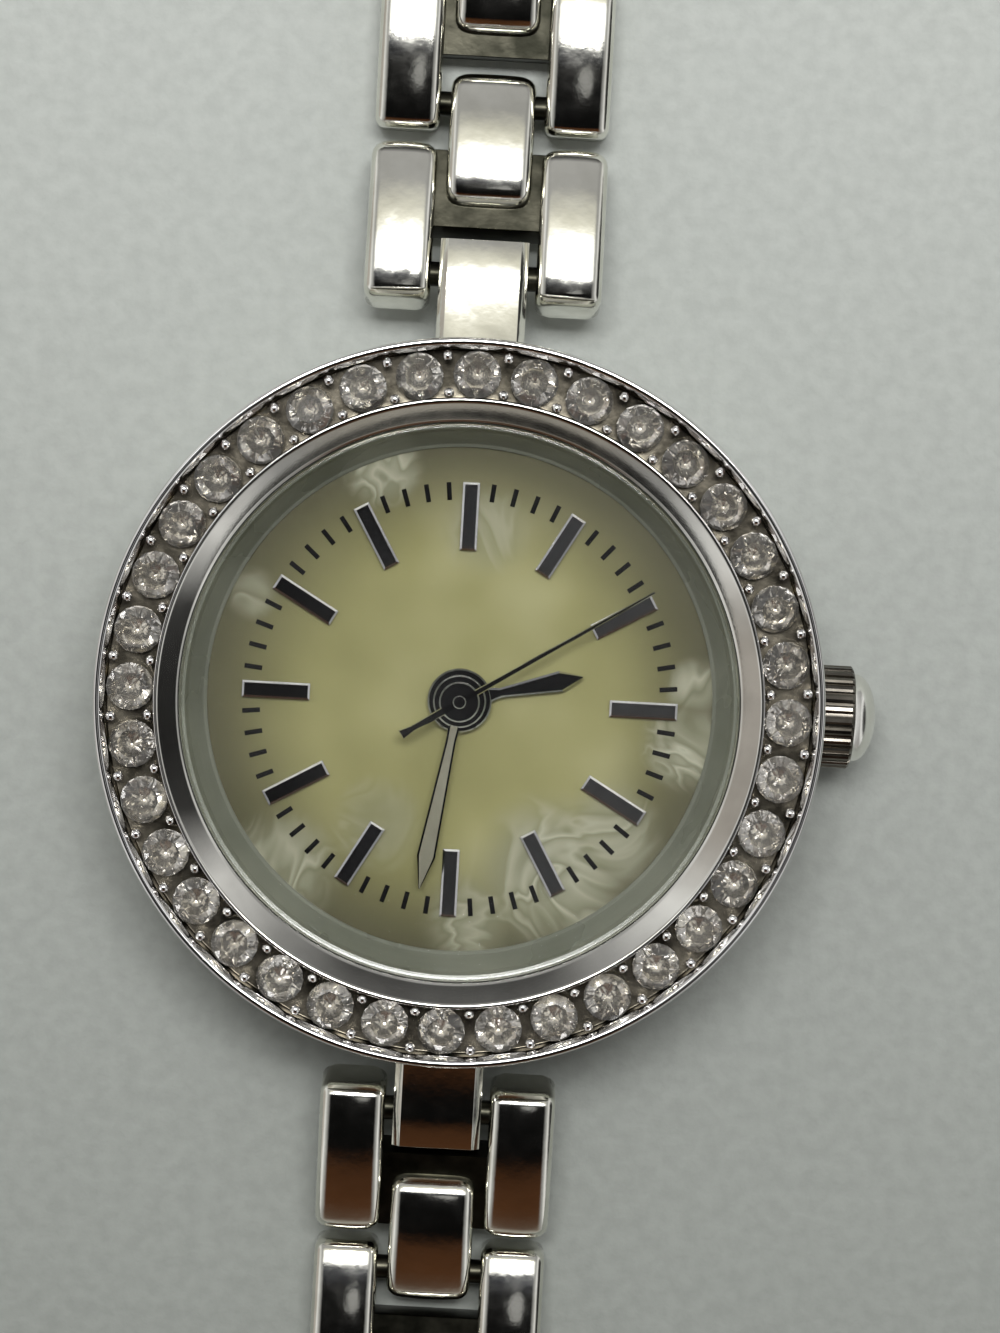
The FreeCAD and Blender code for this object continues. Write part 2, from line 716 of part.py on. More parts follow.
def make_hand(label, low, thick, shape, hub, bearing, bore=None):
    """A flat hand with its round hub, turned clockwise from twelve, and a hole where an arbor passes."""
    body = body_named(label)
    blade = outline(body, label + "_blade", "XY_Plane", shape, low)
    pad(body, blade, thick)
    disc = circles(body, label + "_hub", "XY_Plane", (("0", "0", hub),), low)
    pad(body, disc, thick)
    if bore:
        hole = octagons(body, label + "_hole", "XY_Plane", (("0", "0", bore),))
        pocket(body, hole)
    body.Placement = FreeCAD.Placement(FreeCAD.Vector(), FreeCAD.Rotation(-value(bearing), 0, 0))
    return body


def lance(kind):
    """A hand's outline that widens from its neck to its belly and ends in a point."""
    return (
        ("-%s_neck / 2" % kind, "0"),
        ("%s_neck / 2" % kind, "0"),
        ("%s_width / 2" % kind, "%s_belly" % kind),
        ("0", "%s_length" % kind),
        ("-%s_width / 2" % kind, "%s_belly" % kind),
    )


def make_hands():
    """The hour, minute and second hands at the photograph's time."""
    needle = (
        ("-second_paddle / 2", "-second_tail"),
        ("second_paddle / 2", "-second_tail"),
        ("second_neck / 2", "0"),
        ("second_neck / 4", "second_length"),
        ("-second_neck / 4", "second_length"),
        ("-second_neck / 2", "0"),
    )
    return [
        make_hand("hour_hand", "hour_low", "hand_thick", lance("hour"), "hour_hub", "hour_bearing",
                  "cannon_tube + run_gap * 2"),
        make_hand("minute_hand", "minute_low", "hand_thick", lance("minute"), "minute_hub", "minute_bearing",
                  "pivot_radius + run_gap"),
        make_hand("second_hand", "second_low", "second_thick", needle, "second_hub", "second_bearing"),
    ]


# Places in the movement

BATTERY_SPOT = ("battery_ring * cos(battery_bearing)", "battery_ring * sin(battery_bearing)")
THIRD_REACH = "(third_module * (second_leaves + third_teeth) / 2)"
THIRD_SPOT = (THIRD_REACH + " * cos(third_bearing)", THIRD_REACH + " * sin(third_bearing)")
INTER_REACH = "(wheel_module * (inter_leaves + second_teeth) / 2)"
INTER_SPOT = (INTER_REACH + " * cos(inter_bearing)", INTER_REACH + " * sin(inter_bearing)")
ROTOR_REACH = "(wheel_module * (rotor_leaves + inter_teeth) / 2)"
ROTOR_SPOT = (
    INTER_SPOT[0] + " + " + ROTOR_REACH + " * cos(rotor_bearing)",
    INTER_SPOT[1] + " + " + ROTOR_REACH + " * sin(rotor_bearing)",
)
MINUTE_SPOT = ("wheel_module * (cannon_leaves + minute_teeth) / 2", "0")
SETTING_SPOT = (MINUTE_SPOT[0] + " + wheel_module * (minute_teeth + setting_teeth) / 2", "0")
PILLAR_BEARINGS = ("40", "155", "318")


def pillar_spots(radius):
    """Circles of one radius at the three pillars."""
    spots = []
    for turn in PILLAR_BEARINGS:
        spots.append(("pillar_ring * cos(%s)" % turn, "pillar_ring * sin(%s)" % turn, radius))
    return spots


def make_main_plate():
    """The main plate with its pillars, pivot holes, dial foot holes and the stem's channel."""
    body = body_named("main_plate")
    hole = "pivot_radius + run_gap"
    rounds = [
        ("0", "0", "centre_tube + run_gap * 2"),
        THIRD_SPOT + (hole,),
        INTER_SPOT + (hole,),
        ROTOR_SPOT + (hole,),
        MINUTE_SPOT + (hole,),
        SETTING_SPOT + (hole,),
    ]
    for turn in ("foot_bearing", "foot_bearing + 180"):
        rounds.append(("foot_ring * cos(%s)" % turn, "foot_ring * sin(%s)" % turn, "foot_radius + fit_gap"))
    disc = circles(body, "plate_disc", "XY_Plane", (("0", "0", "plate_radius"),), "plate_low")
    pad(body, disc, "plate_top - plate_low")
    pocket(body, octagons(body, "plate_holes", "XY_Plane", rounds))
    pillars = octagons(body, "plate_pillars", "XY_Plane", pillar_spots("pillar_radius"), "plate_low")
    pad(body, pillars, "plate_low - bridge_top", down=True)
    screws = octagons(body, "plate_screw_holes", "XY_Plane", pillar_spots("screw_radius"), "bridge_top")
    pocket(body, screws, "screw_length", upwards=True)
    wide = "slider_radius + fit_gap"
    narrow = "stem_radius + fit_gap"
    room = "slider_start + slider_length + fit_gap"
    near = "slider_start - lever_shift * 2"
    channel = outline(body, "plate_channel", "XY_Plane", (
        (near, "-(%s)" % wide),
        (room, "-(%s)" % wide),
        (room, "-(%s)" % narrow),
        ("plate_radius + fit_gap", "-(%s)" % narrow),
        ("plate_radius + fit_gap", narrow),
        (room, narrow),
        (room, wide),
        (near, wide),
    ), "plate_low")
    pocket(body, channel)
    return body


def make_train_bridge():
    """The bridge that carries the lower pivots, cut away for the cell."""
    body = body_named("train_bridge")
    hole = "pivot_radius + run_gap"
    rounds = [
        ("0", "0", hole),
        THIRD_SPOT + (hole,),
        INTER_SPOT + (hole,),
        ROTOR_SPOT + (hole,),
    ]
    disc = circles(body, "bridge_disc", "XY_Plane", (("0", "0", "bridge_radius"),), "bridge_low")
    pad(body, disc, "bridge_top - bridge_low")
    pocket(body, octagons(body, "bridge_holes", "XY_Plane", rounds + pillar_spots("screw_radius")))
    room = circles(body, "bridge_cell_room", "XY_Plane", (BATTERY_SPOT + ("battery_radius + fit_gap * 3",),))
    pocket(body, room)
    return body


def make_movement_screws():
    """Three screws through the bridge into the pillars."""
    screws = []
    for number, (across, up, radius) in enumerate(pillar_spots("screw_radius"), 1):
        body = body_named("movement_screw_%d" % number)
        shank = octagons(body, body.Label + "_shank", "XY_Plane", ((across, up, radius),), "bridge_low")
        pad(body, shank, "bridge_top + screw_length - fit_gap - bridge_low")
        head = octagons(body, body.Label + "_head", "XY_Plane", ((across, up, "screw_head"),), "bridge_low")
        pad(body, head, "screw_head_thick", down=True)
        screws.append(body)
    return group("movement_screws", screws)


def make_movement_holder():
    """The plastic ring that centres the movement in the case, slotted for the stem."""
    inner = "plate_radius + fit_gap"
    outer = "case_bore - fit_gap"
    low = "back_snap_top + fit_gap"
    body = turned("movement_holder", ((inner, low), (outer, low), (outer, "dial_low"), (inner, "dial_low")))
    half = "stem_radius + fit_gap * 2"
    slot = outline(body, "holder_slot", "XY_Plane", (
        ("plate_radius", "-(%s)" % half),
        ("case_bore", "-(%s)" % half),
        ("case_bore", half),
        ("plate_radius", half),
    ), "stem_height + stem_radius + fit_gap * 2")
    pocket(body, slot, "stem_height")
    return body


def make_power():
    """The button cell, its contact spring, the circuit board, the quartz can, the coil and the stator."""
    lip = "battery_radius - battery_step"
    cell = turned("battery", (
        ("0", "battery_low"),
        (lip, "battery_low"),
        (lip, "battery_low + battery_step / 4"),
        ("battery_radius", "battery_low + battery_step / 4"),
        ("battery_radius", "battery_high"),
        ("0", "battery_high"),
    ), BATTERY_SPOT + ("0",))
    spring = body_named("battery_contact", BATTERY_SPOT + ("0",))
    strip = outline(spring, "contact_strip", "XY_Plane", (
        ("-strap_width / 2", "-battery_radius / 2"),
        ("strap_width / 2", "-battery_radius / 2"),
        ("strap_width / 2", "battery_radius + strap_width"),
        ("-strap_width / 2", "battery_radius + strap_width"),
    ), "bridge_low - strap_thick")
    pad(spring, strip, "strap_thick")
    return [cell, spring, make_circuit_board(), make_coil(), make_stator()]


def make_circuit_board():
    """The curved circuit board with its chip and the quartz can under it."""
    body = body_named("board_plate")
    spots = []
    for radius, turns, leave in (("board_outer", ("board_start", "board_start + board_sweep"), True),
                                 ("board_inner", ("board_start + board_sweep", "board_start"), False)):
        steps = 5
        for step in range(steps + 1):
            turn = "(%s + (%s - (%s)) * %s)" % (turns[0], turns[1], turns[0], step / steps)
            spots.append(("%s * cos(%s)" % (radius, turn), "%s * sin(%s)" % (radius, turn)))
    plate = outline(body, "board_outline", "XY_Plane", spots, "board_low")
    pad(body, plate, "board_thick")
    middle = "(board_inner + board_outer) / 2"
    chip = doc.addObject("Part::Box", "board_chip")
    for side in ("Length", "Width"):
        bind(chip, side, "chip_side")
    bind(chip, "Height", "chip_thick")
    chip_turn = "(board_start + board_sweep / 5)"
    bind(chip, "Placement.Base.x", middle + " * cos(%s) - chip_side / 2" % chip_turn)
    bind(chip, "Placement.Base.y", middle + " * sin(%s) - chip_side / 2" % chip_turn)
    bind(chip, "Placement.Base.z", "board_low - chip_thick")
    can = body_named("quartz_can", ("0", middle, "board_low - can_radius"))
    pad(can, octagons(can, "quartz_can_end", "YZ_Plane", (("0", "0", "can_radius"),)), "can_length", both_ways=True)
    return group("circuit_board", [body, chip, can])


def make_coil():
    """The winding round its flat iron core."""
    left = "coil_left + fit_gap"
    winding = body_named("coil_winding", (left, "-coil_back", "stator_low - core_thick / 2"))
    end = circles(winding, "winding_end", "YZ_Plane", (("0", "0", "coil_radius"),))
    pad(winding, end, "coil_right - coil_left - fit_gap * 2")
    hole = outline(winding, "winding_hole", "YZ_Plane", (
        ("-coil_hole / 2", "-coil_hole / 2"),
        ("coil_hole / 2", "-coil_hole / 2"),
        ("coil_hole / 2", "coil_hole / 2"),
        ("-coil_hole / 2", "coil_hole / 2"),
    ))
    pocket(winding, hole)
    core = doc.addObject("Part::Box", "coil_core")
    bind(core, "Length", "coil_right - coil_left + leg_width * 2")
    bind(core, "Width", "core_width")
    bind(core, "Height", "core_thick")
    bind(core, "Placement.Base.x", "coil_left - leg_width")
    bind(core, "Placement.Base.y", "-coil_back - core_width / 2")
    bind(core, "Placement.Base.z", "stator_low - core_thick")
    return group("coil", [winding, core])


def make_stator():
    """The stator plate: two legs on the core's ends and an eye round the rotor."""
    body = body_named("stator")
    foot = "-coil_back - core_width / 2"
    left = "coil_left - leg_width"
    right = "coil_right + leg_width"
    eye_x = ROTOR_SPOT[0]
    eye_y = ROTOR_SPOT[1]
    bar_low = eye_y + " - stator_eye * 1.5"
    bar_high = eye_y + " - stator_eye * 0.6"
    edge = eye_x + " - stator_eye * 1.35"
    shape = outline(body, "stator_outline", "XY_Plane", (
        (left, foot),
        ("coil_left", foot),
        ("coil_left", bar_low),
        ("coil_right", bar_low),
        ("coil_right", foot),
        (right, foot),
        (right, eye_y + " + stator_eye * 1.4"),
        (eye_x + " - stator_eye * 0.45", eye_y + " + stator_eye * 1.4"),
        (edge, eye_y + " + stator_eye * 0.5"),
        (edge, bar_high),
        (left, bar_high),
    ), "stator_low")
    pad(body, shape, "stator_thick")
    eye = circles(body, "stator_hole", "XY_Plane", ((eye_x, eye_y, "stator_eye"),), "stator_low")
    pocket(body, eye)
    return body


def make_train():
    """The wheels from the rotor to the hour wheel, meshed at rest."""
    module = value("wheel_module")
    third_module = value("third_module")
    thick = value("wheel_thick")
    teeth = {name: value(name) for name in ALIASES if name.endswith("_teeth") or name.endswith("_leaves")}
    origin = (0.0, 0.0)
    third_at = tuple(value(text) for text in THIRD_SPOT)
    inter_at = tuple(value(text) for text in INTER_SPOT)
    rotor_at = tuple(value(text) for text in ROTOR_SPOT)
    minute_at = tuple(value(text) for text in MINUTE_SPOT)
    setting_at = tuple(value(text) for text in SETTING_SPOT)
    sunk_low = "bridge_top - pivot_sink"
    sunk_high = "plate_low + pivot_sink"

    second_arbor = rod("second_arbor", ("0", "0"), ("pivot_radius",), sunk_low, "second_low")
    second_disc = toothed("second_disc", teeth["second_teeth"], module, value("second_level"), thick)
    second_pinion = toothed("second_pinion", teeth["second_leaves"], third_module,
                            value("second_level") + thick, value("third_level - second_level + fit_gap"))
    second = fused("second_wheel", [second_arbor, second_disc, second_pinion])

    bearing = value("third_bearing")
    phase = meshing_phase(0, teeth["second_leaves"], teeth["third_teeth"], bearing)
    third_disc = toothed("third_disc", teeth["third_teeth"], third_module, value("third_level"), thick, phase,
                         third_at)
    centre_module = 2 * value(THIRD_REACH) / (teeth["third_leaves"] + teeth["centre_teeth"])
    third_pinion = toothed("third_pinion", teeth["third_leaves"], centre_module,
                           value("centre_level - fit_gap"), thick + value("fit_gap * 2"), 0, third_at)
    third_arbor = rod("third_arbor", THIRD_SPOT, ("pivot_radius",), sunk_low, sunk_high)
    third = fused("third_wheel", [third_arbor, third_disc, third_pinion])

    tube_foot = "centre_level - fit_gap"
    bore = "pivot_radius + run_gap"
    origin_spot = ("0", "0")
    centre_arbor = rod("centre_arbor", origin_spot, ("centre_tube", bore), tube_foot, "minute_low")
    phase = meshing_phase(0, teeth["third_leaves"], teeth["centre_teeth"], bearing + 180)
    centre_disc = toothed("centre_disc", teeth["centre_teeth"], centre_module, value("centre_level"), thick, phase,
                          origin, value(bore))
    centre = fused("centre_wheel", [centre_arbor, centre_disc])

    cannon_arbor = rod("cannon_arbor", origin_spot, ("cannon_tube", "centre_tube"), "motion_level", "minute_low")
    cannon_disc = toothed("cannon_disc", teeth["cannon_leaves"], module, value("motion_level"),
                          value("hour_level - motion_level - fit_gap * 2"), 0, origin, value("centre_tube"))
    cannon = fused("cannon_pinion", [cannon_arbor, cannon_disc])

    phase = meshing_phase(0, teeth["cannon_leaves"], teeth["minute_teeth"], 0)
    minute_disc = toothed("minute_disc", teeth["minute_teeth"], module, value("motion_level"), thick, phase,
                          minute_at)
    minute_pinion = toothed("minute_pinion", teeth["minute_leaves"], module, value("motion_level") + thick,
                            value("hour_level - motion_level"), 0, minute_at)
    minute_arbor = rod("minute_arbor", MINUTE_SPOT, ("pivot_radius",), "plate_top - pivot_sink", "dial_low - fit_gap")
    minute = fused("minute_wheel", [minute_arbor, minute_disc, minute_pinion])

    setting_phase = meshing_phase(phase, teeth["minute_teeth"], teeth["setting_teeth"], 0)
    setting_disc = toothed("setting_disc", teeth["setting_teeth"], module, value("motion_level"), thick,
                           setting_phase, setting_at)
    setting_arbor = rod("setting_arbor", SETTING_SPOT, ("pivot_radius",), "plate_top - pivot_sink",
                        "dial_low - fit_gap")
    setting = fused("setting_wheel", [setting_arbor, setting_disc])

    hour_bore = "cannon_tube + run_gap * 2"
    hour_arbor = rod("hour_arbor", origin_spot, ("hour_tube", hour_bore), "hour_level", "hour_low")
    phase = meshing_phase(0, teeth["minute_leaves"], teeth["hour_teeth"], 180)
    hour_disc = toothed("hour_disc", teeth["hour_teeth"], module, value("hour_level"), thick, phase, origin,
                        value(hour_bore))
    hour = fused("hour_wheel", [hour_arbor, hour_disc])

    bearing = value("inter_bearing")
    leaf_phase = meshing_phase(0, teeth["second_teeth"], teeth["inter_leaves"], bearing)
    inter_pinion = toothed("inter_pinion", teeth["inter_leaves"], module, value("second_level - fit_gap"),
                           thick + value("fit_gap * 2"), leaf_phase, inter_at)
    inter_disc = toothed("inter_disc", teeth["inter_teeth"], module, value("inter_level"), thick, 0, inter_at)
    inter_arbor = rod("inter_arbor", INTER_SPOT, ("pivot_radius",), sunk_low, sunk_high)
    inter = fused("intermediate_wheel", [inter_arbor, inter_disc, inter_pinion])

    phase = meshing_phase(0, teeth["inter_teeth"], teeth["rotor_leaves"], value("rotor_bearing"))
    rotor_pinion = toothed("rotor_pinion", teeth["rotor_leaves"], module, value("inter_level - fit_gap"),
                           thick + value("fit_gap * 2"), phase, rotor_at)
    magnet = rod("rotor_magnet", ROTOR_SPOT, ("magnet_radius",), "magnet_low", "magnet_high")
    rotor_arbor = rod("rotor_arbor", ROTOR_SPOT, ("pivot_radius",), sunk_low, sunk_high)
    rotor = fused("rotor", [rotor_arbor, rotor_pinion, magnet])
    return [second, third, centre, cannon, minute, setting, hour, inter, rotor]


# Crown, stem and setting work


def make_crown():
    """The crown: a fluted barrel with a domed cap, hollow towards the case."""
    dome = "((crown_dome ^ 2 + (crown_top - crown_edge) ^ 2) / (2 * (crown_top - crown_edge)))"
    body = body_named("crown", ("0", "0", "stem_height"))
    corners = []
    for flute in range(int(value("crown_flutes"))):
        for reach, half_steps in (("crown_radius - flute_depth", 2 * flute), ("crown_radius", 2 * flute + 1)):
            turn = "(%d * 180 / crown_flutes)" % half_steps
            corners.append(("(%s) * cos(%s)" % (reach, turn), "(%s) * sin(%s)" % (reach, turn)))
    barrel = outline(body, "crown_barrel", "YZ_Plane", corners, "crown_near")
    pad(body, barrel, "crown_edge - crown_near")
    cap = outline(body, "crown_cap", "XZ_Plane", (
        ("crown_edge - crown_bevel", "0"),
        ("crown_top", "0", dome),
        ("crown_edge", "crown_dome"),
        ("crown_edge - crown_bevel", "crown_dome"),
    ))
    spin = body.newObject("PartDesign::Revolution", "crown_cap_turned")
    spin.Profile = cap
    spin.ReferenceAxis = (cap, ["H_Axis"])
    spin.Angle = 360
    body.Tip = spin
    recess = circles(body, "crown_recess_end", "YZ_Plane", (("0", "0", "crown_recess"),), "crown_near")
    pocket(body, recess, "crown_recess_depth - crown_near", upwards=True)
    thread = circles(body, "crown_thread", "YZ_Plane", (("0", "0", "stem_radius"),), "crown_near")
    pocket(body, thread, "crown_thread_end - crown_near", upwards=True)
    return body


def make_stem():
    """The stem: square where the sliding pinion rides, grooved for the setting lever, then round."""
    body = body_named("stem", ("0", "0", "stem_height"))
    square = outline(body, "stem_square", "YZ_Plane", (
        ("-square_side / 2", "-square_side / 2"),
        ("square_side / 2", "-square_side / 2"),
        ("square_side / 2", "square_side / 2"),
        ("-square_side / 2", "square_side / 2"),
    ), "stem_inner")
    pad(body, square, "lever_groove - stem_inner")
    core = octagons(body, "stem_groove", "YZ_Plane", (("0", "0", "groove_core"),), "lever_groove")
    pad(body, core, "groove_width")
    shank = circles(body, "stem_shank", "YZ_Plane", (("0", "0", "stem_radius"),), "lever_groove + groove_width")
    pad(body, shank, "crown_thread_end - lever_groove - groove_width")
    return body


def make_crown_fittings():
    """The tube in the case wall and the gasket inside the crown."""
    tube = turned("crown_tube", (
        ("case_bore + fit_gap", "tube_bore"),
        ("tube_end", "tube_bore"),
        ("tube_end", "tube_radius"),
        ("case_bore + fit_gap", "tube_radius"),
    ), ("0", "0", "stem_height"), "H_Axis")
    seal_end = "crown_seal_start + crown_seal_width"
    seal = turned("crown_gasket", (
        ("crown_seal_start", "tube_radius + run_gap"),
        (seal_end, "tube_radius + run_gap"),
        (seal_end, "crown_recess"),
        ("crown_seal_start", "crown_recess"),
    ), ("0", "0", "stem_height"), "H_Axis")
    return [tube, seal]


def make_setting_work():
    """The setting lever, the sliding pinion and the yoke."""
    pin_x = "lever_groove + groove_width / 2"
    pivot_x = pin_x + " + lever_shift"
    pivot_y = "lever_offset + lever_reach"
    lever = body_named("setting_lever")
    arm = outline(lever, "lever_arm", "XY_Plane", (
        (pin_x + " - lever_width", "lever_offset - lever_width"),
        (pin_x + " + lever_width", "lever_offset - lever_width"),
        (pivot_x + " + lever_width * 1.5", pivot_y),
        (pivot_x, pivot_y + " + lever_width * 1.5"),
        (pivot_x + " - lever_width * 1.5", pivot_y),
    ), "lever_low")
    pad(lever, arm, "lever_thick")
    peg = octagons(lever, "lever_peg", "XY_Plane", ((pin_x, "lever_offset", "lever_pin"),),
                  "lever_low + lever_thick")
    pad(lever, peg, "stem_height - lever_low - lever_thick")
    post = circles(lever, "lever_post", "XY_Plane", ((pivot_x, pivot_y, "pivot_radius * 2"),),
                   "lever_low + lever_thick")
    pad(lever, post, "plate_low - fit_gap - lever_low - lever_thick")

    waist = "slider_start + slider_length / 2"
    return [lever, make_sliding_pinion(), make_yoke(waist)]


def make_sliding_pinion():
    """Two rings of teeth on a narrower waist, with the square hole that rides on the stem."""
    teeth = value("slider_teeth")
    module = 2 * value("slider_radius") / (teeth + 2)
    collar = value("(slider_length - slider_waist_width) / 2")
    inner = toothed("slider_inner_teeth", teeth, module, 0, collar)
    outer = toothed("slider_outer_teeth", teeth, module, value("slider_length") - collar, collar)
    waist = rod("slider_waist_core", ("0", "0"), ("slider_waist",), "0", "slider_length")
    square = doc.addObject("Part::Box", "slider_square")
    hole = "(square_side + run_gap * 2)"
    bind(square, "Length", hole)
    bind(square, "Width", hole)
    bind(square, "Height", "slider_length")
    bind(square, "Placement.Base.x", "-%s / 2" % hole)
    bind(square, "Placement.Base.y", "-%s / 2" % hole)
    pinion = doc.addObject("Part::Cut", "sliding_pinion")
    pinion.Base = fused("slider_solid", [waist, inner, outer])
    pinion.Tool = square
    along = FreeCAD.Rotation(FreeCAD.Vector(0, 1, 0), 90)
    spot = FreeCAD.Vector(value("slider_start"), 0, value("stem_height"))
    pinion.Placement = FreeCAD.Placement(spot, along)
    return pinion


def make_yoke(waist):
    """The yoke, whose finger rides in the sliding pinion's waist."""
    yoke = body_named("yoke")
    bar_left = waist + " - yoke_length / 2"
    bar_right = waist + " + yoke_length / 2"
    finger = "(slider_waist_width / 2 - run_gap)"
    shape = outline(yoke, "yoke_outline", "XY_Plane", (
        (waist + " - " + finger, "slider_waist + run_gap"),
        (waist + " + " + finger, "slider_waist + run_gap"),
        (waist + " + " + finger, "yoke_near"),
        (bar_right, "yoke_near"),
        (bar_right, "yoke_far"),
        (bar_left, "yoke_far"),
        (bar_left, "yoke_near"),
        (waist + " - " + finger, "yoke_near"),
    ), "yoke_low")
    pad(yoke, shape, "yoke_thick")
    return yoke


# Bracelet links


def side_width(number):
    """The width of one side lobe on a link, as a sheet text."""
    return "(side_width - side_taper * %d)" % (number - 1)


def overall_width(number):
    """The width over both side lobes, as a sheet text."""
    return "(centre_width + lobe_gap * 2 + %s * 2)" % side_width(number)


def top_radius(length):
    """The radius of a lobe's rounded top over a length, as a sheet text."""
    return "(((%s) ^ 2 / 4 + link_crown ^ 2) / (2 * link_crown))" % length


def make_casting(number):
    """One cast link with its pin: two side lobes, a low web, and a centre lobe that reaches the next pin.

    The pin is pressed into the side lobes and is one solid with them.
    """
    name = "casting_%d" % number
    body = body_named(name)
    low = "-link_under"
    shoulder = "link_over - link_crown"
    web = outline(body, name + "_web", "YZ_Plane", (
        ("web_start", low),
        ("web_end", low),
        ("web_end", "web_top"),
        ("web_start", "web_top"),
    ))
    pad(body, web, overall_width(number) + " - side_width", both_ways=True)

    far = "pitch + centre_reach"
    centre = outline(body, name + "_centre", "YZ_Plane", (
        ("centre_start", low),
        ("pitch", low, "centre_reach"),
        (far, low + " + centre_reach"),
        (far, shoulder, top_radius(far + " - centre_start")),
        ("centre_start", shoulder),
    ))
    pad(body, centre, "centre_width", both_ways=True)

    front = "pitch - side_tail - side_gap"
    side = outline(body, name + "_side", "YZ_Plane", (
        ("-side_tail + foot_bevel", low),
        (front + " - foot_bevel", low),
        (front, low + " + foot_bevel"),
        (front, shoulder, top_radius(front + " + side_tail")),
        ("-side_tail", shoulder),
        ("-side_tail", low + " + foot_bevel"),
    ), "centre_width / 2 + lobe_gap")
    lobe = pad(body, side, side_width(number))
    lobes = mirror(body, lobe, "YZ_Plane")
    strap_pin(body, name)
    eye = octagons(body, name + "_eye", "YZ_Plane", (("pitch", "0", "pin_eye"),))
    cut = pocket(body, eye)

    outer = value(overall_width(number) + " / 2")
    middle_edge = value("centre_width / 2")

    def rounded_top(edge, middle):
        reach = abs(middle.x)
        long_edge = abs(reach - outer) < 0.01 or abs(reach - middle_edge) < 0.01
        return long_edge and middle.z > value("link_over - link_crown / 2") and edge.Length > value("pitch / 2")

    bevel(body, cut, "link_bevel", rounded_top)
    return body


def strap_pin(body, name):
    """The pin between a piece's two sides, at the body's own origin."""
    end = circles(body, name + "_pin", "YZ_Plane", (("0", "0", "pin_radius"),))
    return pad(body, end, "centre_width + lobe_gap * 2", both_ways=True)


def slope():
    """How far the first link leans down from its lug to lie on the table, in degrees."""
    return math.degrees(math.asin(value("(lug_pin_height - link_under) / pitch")))


def strap_place(number, heading):
    """Where the pin of a link lies at rest, for a strand that leads off at a heading from twelve."""
    lean = slope() if number == 1 else 0.0
    along = value("lug_pin_reach")
    height = value("lug_pin_height")
    if number > 1:
        along += value("pitch") * (math.cos(math.radians(slope())) + number - 2)
        height = value("link_under")
    turn = FreeCAD.Rotation(FreeCAD.Vector(0, 0, 1), heading)
    tilt = FreeCAD.Rotation(FreeCAD.Vector(1, 0, 0), -lean)
    spot = turn.multVec(FreeCAD.Vector(0, along, height))
    return FreeCAD.Placement(spot, turn.multiply(tilt))


def make_links():
    """The links of both strands."""
    count = int(value("link_count"))
    nodes = []
    for number in range(1, count + 1):
        casting = make_casting(number)
        for strand, heading in STRANDS:
            label = "%s_link_%d" % (strand, number)
            nodes.append(group(label, [casting], strap_place(number, heading)))
    return nodes


# Clasp


def clasp_frame(name, number, wall_end, floor_far, floor_top):
    """The two side walls that carry the strap pin, with the floor or bar between them."""
    body = body_named(name)
    low = "-link_under"
    floor = outline(body, name + "_floor", "YZ_Plane", (
        ("web_start", low),
        (floor_far, low),
        (floor_far, floor_top),
        ("web_start", floor_top),
    ))
    pad(body, floor, overall_width(number) + " - clasp_wall", both_ways=True)
    wall = outline(body, name + "_wall", "YZ_Plane", wall_end + (
        ("-side_tail", "clasp_rim"),
        ("-side_tail", low + " + foot_bevel"),
        ("-side_tail + foot_bevel", low),
    ), overall_width(number) + " / 2 - clasp_wall")
    mirror(body, pad(body, wall, "clasp_wall"), "YZ_Plane")
    cross_bar(body, name + "_pin", number, "0", "0", "pin_radius")
    return body


def cross_bar(body, name, number, along, height, radius):
    """A round bar from side wall to side wall."""
    end = circles(body, name, "YZ_Plane", ((along, height, radius),))
    return pad(body, end, overall_width(number) + " - clasp_wall * 2", both_ways=True)


def make_clasp_base(number):
    """The clasp's channel on the lower strand, with its strap pin and the cover's hinge pin."""
    ear = "(clasp_rim + clasp_hinge_drop)"
    wall_end = (
        ("clasp_floor_end", "-link_under"),
        ("clasp_hinge", "-clasp_hinge_drop - " + ear, ear),
        ("clasp_hinge + " + ear, "-clasp_hinge_drop", ear),
        ("clasp_hinge", "clasp_rim"),
    )
    body = clasp_frame("clasp_base", number, wall_end, "clasp_floor_end", "clasp_floor - link_under")
    cross_bar(body, "cover_hinge_pin", number, "clasp_hinge", "-clasp_hinge_drop", "clasp_hinge_pin")
    body.Placement = strap_place(number, 180)
    return body


def make_clasp_cover(number):
    """The fold-over cover, hinged at the clasp's free end."""
    body = body_named("clasp_cover")
    low = "clasp_rim + cover_gap"
    high = low + " + cover_thick"
    end = "clasp_hinge + knuckle_radius"
    arc = "(((%s - cover_start) ^ 2 / 4 + cover_crown ^ 2) / (2 * cover_crown))" % end
    plate = outline(body, "cover_side", "YZ_Plane", (
        ("cover_start", low),
        (end, low),
        (end, high, arc),
        ("cover_start", high),
    ))
    pad(body, plate, overall_width(number), both_ways=True)
    near = "clasp_hinge - knuckle_radius"
    knuckle = outline(body, "cover_knuckle", "YZ_Plane", (
        (near, "-clasp_hinge_drop", "knuckle_radius"),
        ("clasp_hinge", "-clasp_hinge_drop - knuckle_radius", "knuckle_radius"),
        (end, "-clasp_hinge_drop"),
        (end, low + " + cover_thick / 2"),
        (near, low + " + cover_thick / 2"),
    ))
    pad(body, knuckle, overall_width(number) + " - clasp_wall * 2 - cover_gap * 2", both_ways=True)
    eye = octagons(body, "cover_eye", "YZ_Plane", (
        ("clasp_hinge", "-clasp_hinge_drop", "clasp_hinge_pin + run_gap * 2"),
    ))
    pocket(body, eye)
    body.Placement = strap_place(number, 180)
    return body


